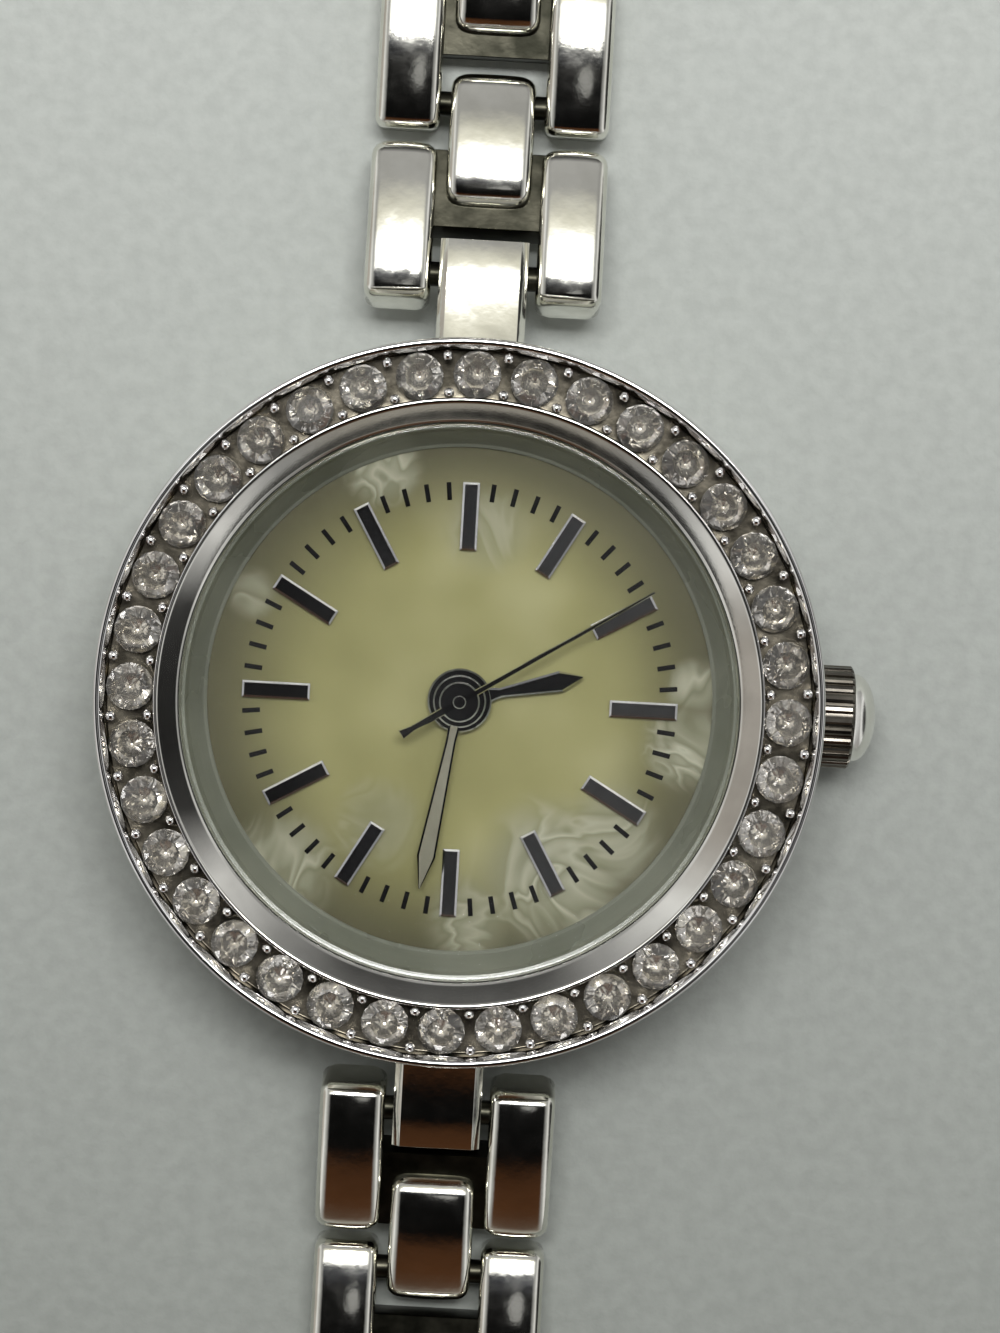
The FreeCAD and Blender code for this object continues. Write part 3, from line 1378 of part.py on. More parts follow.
def make_clasp_catch(number):
    """The end piece of the upper strand, with its pin and the bar that the clasp closes on."""
    wall_end = (("catch_length", "-link_under"), ("catch_length", "clasp_rim"))
    body = clasp_frame("clasp_catch", number, wall_end, "web_start + clasp_wall", "clasp_rim")
    cross_bar(body, "catch_bar_end", number, "catch_length - catch_bar - fit_gap", "fit_gap - catch_bar_drop",
              "catch_bar")
    body.Placement = strap_place(number, 0)
    return body


# Assembly

LAST = int(value("link_count")) + 1
nodes = [make_case_body(), make_caseback(), make_bezel(), make_stones(), make_crystal(), make_rehaut()]
nodes += [make_case_seal(), make_dial(), make_markers()]
nodes += make_hands()
nodes += [make_movement_holder(), make_main_plate(), make_train_bridge(), make_movement_screws()]
nodes += make_power()
nodes += make_train()
nodes += [make_crown(), make_stem()]
nodes += make_crown_fittings()
nodes += make_setting_work()
nodes += make_links()
nodes += [make_clasp_base(LAST), make_clasp_cover(LAST), make_clasp_catch(LAST)]
doc.recompute()

faults = []
for thing in doc.Objects:
    if "Invalid" in thing.State or "Error" in thing.State:
        faults.append("%s: %s" % (thing.Label, thing.State))
for node in nodes:
    if node.Shape.isNull() or not node.Shape.isValid():
        faults.append(node.Label + ": no valid shape")
if faults:
    raise RuntimeError("; ".join(faults))

os.makedirs("parts", exist_ok=True)
for node in nodes:
    node.Shape.exportStep("parts/%s.step" % node.Label)
print(len(nodes), "nodes,", sum(len(node.Shape.Solids) for node in nodes), "solids")
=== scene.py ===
"""The looks of the stone-set bracelet watch, dressed over its construction model.

Sizes are in millimetres in the classes below and become metres when a mesh is made.
"""

import json
import logging
import math
from dataclasses import dataclass, field
from enum import Enum
from typing import Callable, Sequence

import bmesh
import bpy
from mathutils import Matrix, Vector

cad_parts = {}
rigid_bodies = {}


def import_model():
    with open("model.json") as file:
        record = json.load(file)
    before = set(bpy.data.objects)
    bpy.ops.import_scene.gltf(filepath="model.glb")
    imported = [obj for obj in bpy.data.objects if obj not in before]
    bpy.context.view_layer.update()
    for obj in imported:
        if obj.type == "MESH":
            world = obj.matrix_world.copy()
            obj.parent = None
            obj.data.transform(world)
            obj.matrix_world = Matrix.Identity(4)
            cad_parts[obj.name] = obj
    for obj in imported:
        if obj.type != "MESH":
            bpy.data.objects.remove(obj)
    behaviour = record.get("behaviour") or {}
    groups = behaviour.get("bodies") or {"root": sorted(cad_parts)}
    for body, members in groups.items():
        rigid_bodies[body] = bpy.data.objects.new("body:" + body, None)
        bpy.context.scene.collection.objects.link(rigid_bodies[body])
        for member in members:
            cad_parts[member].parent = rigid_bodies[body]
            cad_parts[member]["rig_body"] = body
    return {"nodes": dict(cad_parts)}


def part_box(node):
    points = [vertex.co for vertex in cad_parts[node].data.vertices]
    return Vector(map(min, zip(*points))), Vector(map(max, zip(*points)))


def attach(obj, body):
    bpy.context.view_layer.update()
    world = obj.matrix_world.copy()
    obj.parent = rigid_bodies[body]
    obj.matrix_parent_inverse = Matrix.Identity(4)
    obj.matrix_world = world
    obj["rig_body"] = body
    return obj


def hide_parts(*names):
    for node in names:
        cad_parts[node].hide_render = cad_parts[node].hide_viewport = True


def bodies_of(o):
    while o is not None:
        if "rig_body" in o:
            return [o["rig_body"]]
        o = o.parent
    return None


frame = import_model()

LOG = logging.getLogger("bracelet_watch")
MM = 0.001
Point2 = tuple[float, float]
Point3 = tuple[float, float, float]
Colour = tuple[float, float, float, float]
Socket = bpy.types.NodeSocket
Mesh = bpy.types.Mesh

GLOSS_WAVES = 1.7  # waves to the millimetre of the wear in a metal's gloss
UPRIGHT, LEVEL = 0.2, 0.98  # a face slopes where its normal's z lies between these
CORNER_SHARE = 0.49  # how much of a profile's side one rounded corner may take
ON_AXIS = 1e-6  # a smaller radius, in millimetres, lies on the axis


class Slot(Enum):
    """The record's material slots that this object's pieces take their finish from."""

    POLISHED = "polished_metal"
    BACK = "steel_back"
    STONE = "clear_stone"
    GLASS = "crystal_glass"
    SEAL = "seal_rubber"
    REHAUT = "rehaut_plastic"
    DIAL = "pearl_dial"
    TRIM = "bright_trim"
    HAND = "hand_steel"
    HOLDER = "holder_plastic"
    BRASS = "movement_brass"
    MOVEMENT = "movement_steel"
    CELL = "cell_steel"
    BOARD = "board_laminate"
    COPPER = "coil_copper"


# Node trees and finishes


class NodeKit:
    """A short way to add nodes and links to one tree of a material, the world or Geometry Nodes."""

    def __init__(self, tree: bpy.types.NodeTree) -> None:
        """Empty the tree and keep it."""
        self.tree = tree
        tree.nodes.clear()

    def add(self, kind: str, **values: object) -> bpy.types.Node:
        """Add a node.

        Args:
            kind: The node's type, a shader node's without its ShaderNode prefix.
            values: Input values or input links by socket name, and node settings by attribute name.

        Returns:
            The new node.
        """
        node = self.tree.nodes.new(kind if "Node" in kind else "ShaderNode" + kind)
        for name, value in values.items():
            socket = node.inputs.get(name.replace("_", " "))
            if socket is None:
                setattr(node, name, value)
            elif isinstance(value, Socket):
                self.tree.links.new(value, socket)
            else:
                socket.default_value = value
        return node

    def link(self, start: Socket, end: Socket) -> None:
        """Join two sockets."""
        self.tree.links.new(start, end)

    def place(self, scale: Point3 = (1.0, 1.0, 1.0)) -> Socket:
        """Object coordinates in millimetres, stretched by a scale.

        Args:
            scale: A factor for each axis.

        Returns:
            The socket with the coordinates.
        """
        spot = self.add("TexCoord").outputs["Object"]
        mapping = self.add("Mapping", Vector=spot, Scale=tuple(s / MM for s in scale))
        return mapping.outputs["Vector"]

    def noise(self, place: Socket, scale: float, detail: float = 3.0) -> Socket:
        """Noise over a place, its scale in waves to the millimetre and its detail in octaves."""
        return self.add("TexNoise", Vector=place, Scale=scale, Detail=detail).outputs["Fac"]

    def between(self, factor: Socket, stops: Sequence[tuple[float, Colour]]) -> Socket:
        """A colour ramp.

        Args:
            factor: What drives the ramp.
            stops: Positions and colours.

        Returns:
            The colour socket.
        """
        ramp = self.add("ValToRGB", Fac=factor)
        elements = ramp.color_ramp.elements
        elements[0].position, elements[0].color = stops[0]
        elements[1].position, elements[1].color = stops[-1]
        for position, colour in stops[1:-1]:
            elements.new(position).color = colour
        return ramp.outputs["Color"]

    def range(self, factor: Socket, low: float, high: float) -> Socket:
        """A factor of 0 to 1 spread between two values."""
        return self.add("MapRange", Value=factor, To_Min=low, To_Max=high).outputs["Result"]

    def bump(self, height: Socket, depth: float, strength: float) -> Socket:
        """A bump normal of a height, its depth in millimetres."""
        return self.add("Bump", Height=height, Distance=depth * MM, Strength=strength).outputs["Normal"]

    def spread(self, value: Socket, low: float, high: float, soft: bool = False, top: float = 1.0) -> Socket:
        """Nought at a low value, rising to a top at a high one.

        Args:
            value: What is spread.
            low: The value that gives nought.
            high: The value that gives the top.
            soft: Whether both ends are eased.
            top: The upper end of the result.

        Returns:
            The result's socket.
        """
        ease = "SMOOTHSTEP" if soft else "LINEAR"
        limits = {"From_Min": low, "From_Max": high, "To_Max": top}
        return self.add("MapRange", Value=value, interpolation_type=ease, **limits).outputs["Result"]

    def calc(self, operation: str, *given: object, kind: str = "Math") -> Socket:
        """The value that a Math or VectorMath node gives.

        Args:
            operation: The node's operation.
            given: Its inputs in order, as sockets or plain values.
            kind: Math or VectorMath.

        Returns:
            The value's socket.
        """
        node = self.add(kind, operation=operation)
        for value, socket in zip(given, node.inputs):
            if isinstance(value, Socket):
                self.link(value, socket)
            else:
                socket.default_value = value
        return node.outputs["Value"]

    def mix(self, factor: object, one: object, two: object, way: str = "MIX") -> Socket:
        """Two colours mixed by a factor."""
        return self.add("MixRGB", blend_type=way, Fac=factor, Color1=one, Color2=two).outputs["Color"]

    def surface(self, **values: object) -> Socket:
        """The shader socket of a principled surface."""
        return self.add("BsdfPrincipled", **values).outputs["BSDF"]


def grey(level: float, warm: float = 0.0) -> Colour:
    """A grey colour, warmer when warm is above nought."""
    return (level * (1.0 + warm), level, level * (1.0 - warm), 1.0)


@dataclass(frozen=True)
class Finish:
    """A finish that a piece can wear."""

    name: str
    slot: Slot

    def paint(self, kit: NodeKit) -> Socket:
        """Build the nodes and return the surface shader's socket."""
        raise NotImplementedError

    def material(self) -> bpy.types.Material:
        """Make the material once and hand it out from then on.

        Returns:
            The Blender material.
        """
        known = bpy.data.materials.get(self.name)
        if known is not None:
            return known
        made = bpy.data.materials.new(self.name)
        made.use_nodes = True
        kit = NodeKit(made.node_tree)
        out = kit.add("OutputMaterial")
        kit.link(self.paint(kit), out.inputs["Surface"])
        return made


@dataclass(frozen=True)
class MetalFinish(Finish):
    """Metal with a faint stain, worn gloss and, where asked for, brushed lines."""

    dark: Colour = grey(0.62)
    light: Colour = grey(0.80)
    gloss: tuple[float, float] = (0.04, 0.12)
    stain: float = 0.35
    grain: Point3 = (1.0, 1.0, 1.0)
    grain_scale: float = 9.0
    grain_strength: float = 0.03

    def paint(self, kit: NodeKit) -> Socket:
        """Build the metal.

        Args:
            kit: The tree to build in.

        Returns:
            The shader socket.
        """
        place = kit.place()
        cloud = kit.noise(place, self.stain)
        tint = kit.between(cloud, [(0.35, self.dark), (0.65, self.light)])
        lines = kit.noise(kit.place(self.grain), self.grain_scale, 4.0)
        normal = kit.bump(lines, 0.02, self.grain_strength)
        gloss = kit.range(kit.noise(place, GLOSS_WAVES), *self.gloss)
        return kit.surface(Base_Color=tint, Metallic=1.0, Normal=normal, Roughness=gloss)


@dataclass(frozen=True)
class PaintedReflectionFinish(Finish):
    """Mirror metal with a painted reflection: its colour runs from dark to light across the object, as if it
    reflected a room with one dark side.
    """

    dark: Colour = grey(0.006)
    light: Colour = grey(0.26)
    left: float = -6.0
    right: float = 4.0
    gloss: tuple[float, float] = (0.05, 0.12)

    def paint(self, kit: NodeKit) -> Socket:
        """Build the metal and its painted reflection.

        Args:
            kit: The tree to build in.

        Returns:
            The shader socket.
        """
        place = kit.place()
        # painted reflection: the colour fades from dark on the left of the object to light on its right
        across = kit.spread(kit.add("SeparateXYZ", Vector=place).outputs["X"], self.left, self.right)
        tint = kit.between(across, [(0.0, self.dark), (1.0, self.light)])
        gloss = kit.range(kit.noise(place, GLOSS_WAVES), *self.gloss)
        return kit.surface(Base_Color=tint, Metallic=1.0, Roughness=gloss)


@dataclass(frozen=True)
class SolidFinish(Finish):
    """Plastic, rubber, ink or laminate with a soft mottle and a fine grain."""

    dark: Colour = grey(0.1)
    light: Colour = grey(0.14)
    gloss: tuple[float, float] = (0.3, 0.45)
    mottle: float = 0.8
    grain_strength: float = 0.1
    coat: float = 0.0
    shine: float = 0.5

    def paint(self, kit: NodeKit) -> Socket:
        """Build the solid finish.

        Args:
            kit: The tree to build in.

        Returns:
            The shader socket.
        """
        place = kit.place()
        cloud = kit.noise(place, self.mottle)
        tint = kit.between(cloud, [(0.3, self.dark), (0.7, self.light)])
        normal = kit.bump(kit.noise(place, 14.0), 0.02, self.grain_strength)
        gloss = kit.range(cloud, *self.gloss)
        coat = {"Coat_Weight": self.coat, "Specular_IOR_Level": self.shine}
        return kit.surface(Base_Color=tint, Normal=normal, Roughness=gloss, **coat)


@dataclass(frozen=True)
class GlassFinish(Finish):
    """Clear glass or stone that lets light through to what lies under it."""

    dark: Colour = grey(0.97)
    light: Colour = grey(1.0)
    index: float = 1.5
    shade: Colour = grey(0.95)
    gloss: tuple[float, float] = (0.0, 0.01)
    clear: float = 1.0
    cloud: float = 0.6

    def paint(self, kit: NodeKit) -> Socket:
        """Build the glass.

        Args:
            kit: The tree to build in.

        Returns:
            The shader socket.
        """
        cloud = kit.noise(kit.place(), self.cloud)
        tint = kit.between(cloud, [(0.35, self.dark), (0.65, self.light)])
        gloss = kit.range(cloud, *self.gloss)
        body = {"Transmission_Weight": self.clear, "IOR": self.index}
        glass = kit.surface(Base_Color=tint, Roughness=gloss, **body)
        path = kit.add("LightPath").outputs
        straight = kit.calc("MAXIMUM", path["Is Shadow Ray"], path["Is Diffuse Ray"])
        mixed = kit.add("MixShader", Fac=straight)
        kit.link(glass, mixed.inputs[1])
        kit.link(kit.add("BsdfTransparent", Color=self.shade).outputs["BSDF"], mixed.inputs[2])
        return mixed.outputs["Shader"]


@dataclass(frozen=True)
class Swirl:
    """A patch of pale nacre on the dial."""

    spot: Point2
    reach: float
    strength: float


@dataclass(frozen=True)
class PearlFinish(Finish):
    """The dial's lacquer: cream to olive, with a painted shade that darkens it towards the rim, and a few
    soft patches of nacre.
    """

    low: Colour = (0.195, 0.188, 0.070, 1.0)
    middle: Colour = (0.245, 0.236, 0.096, 1.0)
    high: Colour = (0.33, 0.32, 0.16, 1.0)
    nacre: Colour = (0.42, 0.42, 0.32, 1.0)
    shade: Colour = (0.155, 0.158, 0.095, 1.0)
    # painted shade: the dark colour that the dial fades to at its rim
    rim: Colour = (0.055, 0.052, 0.022, 1.0)
    rim_shade_start: float = 4.8
    rim_shade_end: float = 9.2
    height: float = 4.7
    fade_start: float = 1.25
    fade_end: float = 0.35
    veins: tuple[tuple[float, Colour], ...] = (
        (0.30, grey(0.0)), (0.40, grey(0.35)), (0.44, grey(0.05)), (0.49, grey(0.9)), (0.52, grey(0.15)),
        (0.60, grey(0.7)), (0.64, grey(0.1)),
    )
    swirls: tuple[Swirl, ...] = (
        Swirl((3.6, -6.0), 2.6, 0.9), Swirl((5.6, -4.6), 1.8, 0.7), Swirl((8.2, -1.2), 1.5, 0.9),
        Swirl((8.4, 0.9), 1.0, 0.7), Swirl((-3.2, 8.1), 1.3, 0.9), Swirl((0.6, 6.0), 1.5, 0.45),
        Swirl((-6.0, -6.4), 1.9, 0.7), Swirl((-2.6, -4.6), 1.6, 0.5), Swirl((-7.6, 3.4), 0.9, 0.4),
        Swirl((0.8, -7.9), 1.6, 0.6),
    )

    def mask(self, kit: NodeKit, place: Socket) -> Socket:
        """Where the nacre lies.

        Args:
            kit: The tree to build in.
            place: Coordinates in millimetres.

        Returns:
            A factor that is above nought in the patches.
        """
        total = None
        for swirl in self.swirls:
            away = kit.calc("DISTANCE", place, (*swirl.spot, self.height), kind="VectorMath")
            start, end = swirl.reach * self.fade_start, swirl.reach * self.fade_end
            fade = kit.spread(away, start, end, True, swirl.strength)
            total = fade if total is None else kit.calc("MAXIMUM", total, fade)
        return total

    def paint(self, kit: NodeKit) -> Socket:
        """Build the pearl lacquer.

        Args:
            kit: The tree to build in.

        Returns:
            The shader socket.
        """
        place = kit.place()
        cloud = kit.noise(place, 0.16, 2.0)
        ground = kit.between(cloud, [(0.3, self.low), (0.5, self.middle), (0.7, self.high)])
        # painted shade towards the dial's rim: nought near the centre, rising to one at the rim
        away = kit.calc("LENGTH", kit.place((1.0, 1.0, 0.0)), kind="VectorMath")
        outer = kit.spread(away, self.rim_shade_start, self.rim_shade_end, True)
        swirl = kit.add("TexNoise", Vector=place, Scale=0.24, Detail=2.5, Distortion=1.2).outputs["Fac"]
        mask = self.mask(kit, place)
        amount = kit.calc("MULTIPLY", kit.between(swirl, self.veins), mask)
        dimmed = kit.mix(mask, kit.mix(outer, ground, self.rim), self.shade)
        pearl = kit.mix(amount, dimmed, self.nacre)
        return kit.surface(Base_Color=pearl, Specular_IOR_Level=0.2, Roughness=kit.range(cloud, 0.34, 0.48))


@dataclass(frozen=True)
class FloorFinish(Finish):
    """A pale sheet with a painted shade, darker in a band in front of the watch where the light falls off and
    pale again further out, with a fine tooth.
    """

    # far is the sheet's own pale colour; near is the painted shade in front of the watch
    far: Colour = (0.515, 0.54, 0.51, 1.0)
    near: Colour = (0.165, 0.178, 0.16, 1.0)
    reach: float = 45.0

    def paint(self, kit: NodeKit) -> Socket:
        """Build the floor.

        Args:
            kit: The tree to build in.

        Returns:
            The shader socket.
        """
        place = kit.place()
        height = kit.add("SeparateXYZ", Vector=place).outputs["Y"]
        # painted shade: darkest at 0.6 of the spread, in front of the watch, and pale at both ends
        along = kit.spread(height, -4 * self.reach, self.reach)
        ground = kit.between(along, [(0.0, self.far), (0.6, self.near), (1.0, self.far)])
        tooth = kit.noise(place, 1.6, 6.0)
        speck = kit.between(tooth, [(0.35, grey(0.90)), (0.65, grey(1.0))])
        tint = kit.mix(1.0, ground, speck, "MULTIPLY")
        return kit.surface(Base_Color=tint, Roughness=0.75, Normal=kit.bump(tooth, 0.15, 0.35))


@dataclass(frozen=True)
class Finishes:
    """Every finish of the watch."""

    polished: Finish = MetalFinish("polished_silver", Slot.POLISHED, grey(0.70, 0.02), grey(0.84, 0.015))
    cast: Finish = MetalFinish(
        "cast_silver", Slot.POLISHED, (0.70, 0.69, 0.62, 1.0), (0.84, 0.83, 0.76, 1.0), (0.05, 0.16), 0.5,
        grain_scale=1.6, grain_strength=0.42,
    )
    # channel floor under the stones: rough, textured metal whose dark colour is a painted shade in the groove
    channel: Finish = MetalFinish(
        "smoky_channel", Slot.POLISHED, (0.05, 0.045, 0.034, 1.0), (0.20, 0.18, 0.14, 1.0), (0.16, 0.34),
        1.1, grain_scale=3.0, grain_strength=0.4,
    )
    flange: Finish = MetalFinish(
        "polished_flange", Slot.POLISHED, (0.55, 0.54, 0.50, 1.0), (0.72, 0.71, 0.66, 1.0)
    )
    # near-black metal for the web and pins between the lobes
    recess: Finish = MetalFinish(
        "dull_recess", Slot.POLISHED, (0.014, 0.014, 0.010, 1.0), (0.045, 0.043, 0.032, 1.0), (0.25, 0.4),
        0.9, grain_scale=2.5, grain_strength=0.4,
    )
    barrel: Finish = MetalFinish(
        "satin_barrel", Slot.POLISHED, (0.11, 0.10, 0.085, 1.0), (0.19, 0.175, 0.15, 1.0), (0.18, 0.3), 0.7
    )
    foil: Finish = MetalFinish(
        "stone_foil", Slot.STONE, (0.60, 0.57, 0.50, 1.0), (0.97, 0.95, 0.90, 1.0), (0.04, 0.12), 2.2
    )
    back: Finish = MetalFinish(
        "brushed_back", Slot.BACK, grey(0.42, 0.01), grey(0.58, 0.01), (0.22, 0.36), 0.3, (0.05, 3.0, 1.0),
        grain_strength=0.18,
    )
    cap: Finish = MetalFinish(
        "satin_cap", Slot.POLISHED, (0.80, 0.79, 0.73, 1.0), (0.92, 0.91, 0.86, 1.0), (0.14, 0.24), 0.6,
        (1.0, 2.0, 0.2), 8.0, 0.1,
    )
    stone: Finish = GlassFinish(
        "clear_stone_look", Slot.STONE, (0.80, 0.78, 0.74, 1.0), (0.95, 0.94, 0.91, 1.0), 1.52, grey(0.85),
        clear=0.97,
    )
    crystal: Finish = GlassFinish("crystal_glass_look", Slot.GLASS, grey(0.97), grey(1.0), 1.45, grey(0.96))
    seal: Finish = SolidFinish("black_seal", Slot.SEAL, grey(0.015), grey(0.03), (0.45, 0.6))
    rehaut: Finish = SolidFinish(
        "grey_green_ring", Slot.REHAUT, (0.125, 0.135, 0.105, 1.0), (0.185, 0.195, 0.155, 1.0), (0.22, 0.34),
        0.25,
    )
    dial: Finish = PearlFinish("pearl_lacquer", Slot.DIAL)
    ink: Finish = SolidFinish("black_ink", Slot.DIAL, grey(0.002), grey(0.006), (0.6, 0.75), 2.0, shine=0.05)
    # the baton tops wear a painted reflection, dark on the left and light on the right
    trim: Finish = PaintedReflectionFinish("mirror_baton", Slot.TRIM)
    dark_hand: Finish = MetalFinish("black_polished_hand", Slot.HAND, grey(0.02), grey(0.045), (0.08, 0.16))
    edge: Finish = MetalFinish("bright_hand_edge", Slot.HAND, grey(0.62), grey(0.8), (0.08, 0.16))
    satin_hand: Finish = SolidFinish(
        "satin_hand", Slot.HAND, (0.105, 0.10, 0.065, 1.0), (0.15, 0.145, 0.10, 1.0), (0.3, 0.42), 0.8
    )
    holder: Finish = SolidFinish("pale_holder", Slot.HOLDER, grey(0.55, 0.03), grey(0.66, 0.03), (0.4, 0.55))
    brass: Finish = MetalFinish(
        "gilt_brass", Slot.BRASS, (0.62, 0.43, 0.17, 1.0), (0.80, 0.58, 0.26, 1.0), (0.14, 0.26), 0.6
    )
    steel: Finish = MetalFinish(
        "movement_steel_look", Slot.MOVEMENT, grey(0.48), grey(0.62), (0.14, 0.28), 0.7
    )
    cell: Finish = MetalFinish("cell_steel_look", Slot.CELL, grey(0.50), grey(0.64), (0.2, 0.32), 0.5)
    board: Finish = SolidFinish(
        "green_laminate", Slot.BOARD, (0.012, 0.10, 0.035, 1.0), (0.02, 0.16, 0.06, 1.0), (0.28, 0.4), 1.2,
        coat=0.3,
    )
    copper: Finish = MetalFinish(
        "wound_copper", Slot.COPPER, (0.52, 0.20, 0.09, 1.0), (0.72, 0.32, 0.16, 1.0), (0.2, 0.34), 1.0,
        (40.0, 0.3, 0.3), 1.0, 0.5,
    )
    floor: Finish = FloorFinish("pale_floor", Slot.HOLDER)


FINISHES = Finishes()


# Mesh helpers


def new_object(name: str, data: bpy.types.ID) -> bpy.types.Object:
    """Put a mesh, lamp or camera in the scene as an object at the origin.

    Args:
        name: The object's name.
        data: The mesh, lamp or camera.

    Returns:
        The object.
    """
    made = bpy.data.objects.new(name, data)
    bpy.context.scene.collection.objects.link(made)
    return made


def mesh_from(name: str, points: Sequence[Point3], faces: Sequence[Sequence[int]]) -> Mesh:
    """A mesh from points in millimetres.

    Args:
        name: The mesh's name.
        points: Places in millimetres.
        faces: Corner numbers of each face.

    Returns:
        The mesh, its faces pointing outwards.
    """
    mesh = bpy.data.meshes.new(name)
    mesh.from_pydata([tuple(c * MM for c in p) for p in points], [], [tuple(f) for f in faces])
    work = bmesh.new()
    work.from_mesh(mesh)
    bmesh.ops.recalc_face_normals(work, faces=work.faces)
    work.to_mesh(mesh)
    work.free()
    return mesh


def loft(name: str, rows: Sequence[Sequence[Point3]]) -> Mesh:
    """A closed skin over rows of points, with the first and the last row filled.

    Args:
        name: The mesh's name.
        rows: Rows with the same number of points each, in millimetres.

    Returns:
        The mesh.
    """
    count, last = len(rows[0]), len(rows[0]) * (len(rows) - 1)
    faces = [list(range(count))[::-1], list(range(last, last + count))]
    for start in range(0, last, count):
        for i in range(count):
            j = (i + 1) % count
            faces.append([start + i, start + j, start + count + j, start + count + i])
    return mesh_from(name, [point for row in rows for point in row], faces)


def rounded(corners: Sequence[Point3], steps: int = 4) -> list[Point2]:
    """A closed profile with its corners rounded.

    Args:
        corners: Radius, height and corner radius of each corner, in order round the profile.
        steps: Pieces of each rounded corner.

    Returns:
        The profile's points.
    """
    path: list[Point2] = []
    for i, (r, z, size) in enumerate(corners):
        here = Vector((r, z))
        if size <= 0:
            path.append((r, z))
            continue
        before = Vector(corners[i - 1][:2]) - here
        after = Vector(corners[(i + 1) % len(corners)][:2]) - here
        start = here + before.normalized() * min(size, before.length * CORNER_SHARE)
        end = here + after.normalized() * min(size, after.length * CORNER_SHARE)
        for step in range(steps + 1):
            t = step / steps
            spot = start * (1 - t) ** 2 + here * (2 * t * (1 - t)) + end * t ** 2
            path.append((spot.x, spot.y))
    return path


def lathe(name: str, profile: Sequence[Point2], segments: int = 128) -> Mesh:
    """Turn a closed profile about the z axis.

    Args:
        name: The mesh's name.
        profile: Radius and height of each point, in order round the profile, in millimetres.
        segments: Steps round the axis.

    Returns:
        The mesh.
    """
    points: list[Point3] = []
    rings: list[list[int]] = []
    for r, z in profile:
        if r < ON_AXIS:
            rings.append([len(points)] * segments)
            points.append((0.0, 0.0, z))
            continue
        rings.append(list(range(len(points), len(points) + segments)))
        turns = [2 * math.pi * i / segments for i in range(segments)]
        points.extend((r * math.cos(a), r * math.sin(a), z) for a in turns)
    faces: list[list[int]] = []
    for k, ring in enumerate(rings):
        above = rings[(k + 1) % len(rings)]
        for i in range(segments):
            j = (i + 1) % segments
            corners = list(dict.fromkeys([ring[i], ring[j], above[j], above[i]]))
            if len(corners) > 2:
                faces.append(corners)
    return mesh_from(name, points, faces)


def prism(name: str, outline: Sequence[Point2], low: float, high: float, inset: float = 0.0) -> Mesh:
    """A flat plate with a bevelled upper edge.

    Args:
        name: The mesh's name.
        outline: The plate's corners, in order, in millimetres.
        low: Height of its underside.
        high: Height of its top.
        inset: Width and height of the bevel.

    Returns:
        The mesh.
    """
    middle = Vector((sum(p[0] for p in outline), sum(p[1] for p in outline))) / len(outline)
    tops = []
    for x, y in outline:
        away = Vector((x, y)) - middle
        tops.append((*(middle + away * max(0.0, 1 - inset / max(away.length, inset))), high))
    return loft(name, [[(x, y, z) for x, y in outline] for z in (low, high - inset)] + [tops])


def joined(name: str, meshes: Sequence[Mesh]) -> Mesh:
    """Several meshes as one, each keeping its own materials.

    Args:
        name: The new mesh's name.
        meshes: The meshes to join.

    Returns:
        The joined mesh.
    """
    work = bmesh.new()
    made = bpy.data.meshes.new(name)
    for part in meshes:
        start, first = len(work.faces), len(made.materials)
        work.from_mesh(part)
        for material in part.materials:
            made.materials.append(material)
        work.faces.ensure_lookup_table()
        for face in work.faces[start:]:
            face.material_index += first
    work.to_mesh(made)
    work.free()
    return made


def dressed(mesh: Mesh, finish: Finish, angle: float = 30.0) -> Mesh:
    """Give a mesh one finish and smooth shading.

    Args:
        mesh: The mesh.
        finish: What it wears.
        angle: Edges sharper than this stay crisp, in degrees.

    Returns:
        The same mesh.
    """
    mesh.materials.clear()
    mesh.materials.append(finish.material())
    mesh.shade_smooth()
    mesh.set_sharp_from_angle(angle=math.radians(angle))
    return mesh


def repainted(mesh: Mesh, finish: Finish, chosen: Callable[[bpy.types.MeshPolygon], bool]) -> Mesh:
    """Give some faces of a dressed mesh a further finish.

    Args:
        mesh: The mesh.
        finish: The finish to add.
        chosen: Whether a face takes it.

    Returns:
        The same mesh.
    """
    mesh.materials.append(finish.material())
    for face in mesh.polygons:
        if chosen(face):
            face.material_index = len(mesh.materials) - 1
    return mesh


def bevelled(face: bpy.types.MeshPolygon) -> bool:
    """Whether a face slopes, being neither a wall nor a flat top."""
    return UPRIGHT < face.normal.z < LEVEL


def reach(face: bpy.types.MeshPolygon) -> float:
    """How far a face lies from the z axis, in millimetres."""
    return math.hypot(face.center.x, face.center.y) / MM


def finished(
    name: str, mesh: Mesh, body: str, nodes: Sequence[str] = ()
) -> bpy.types.Object:
    """Put a dressed mesh in the scene, on its body, in place of its construction nodes.

    Args:
        name: The piece's name.
        mesh: Its dressed mesh.
        body: The body that it moves with.
        nodes: The construction nodes that it stands for.

    Returns:
        The piece's object.
    """
    piece = new_object(name, mesh)
    if nodes:
        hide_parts(*nodes)
    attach(piece, body)
    LOG.info("%s on %s: %d faces", name, body, len(mesh.polygons))
    return piece


def body_of(node: str) -> str:
    """The body that a construction node rides on."""
    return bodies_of(frame["nodes"][node])[0]


# Geometry Nodes


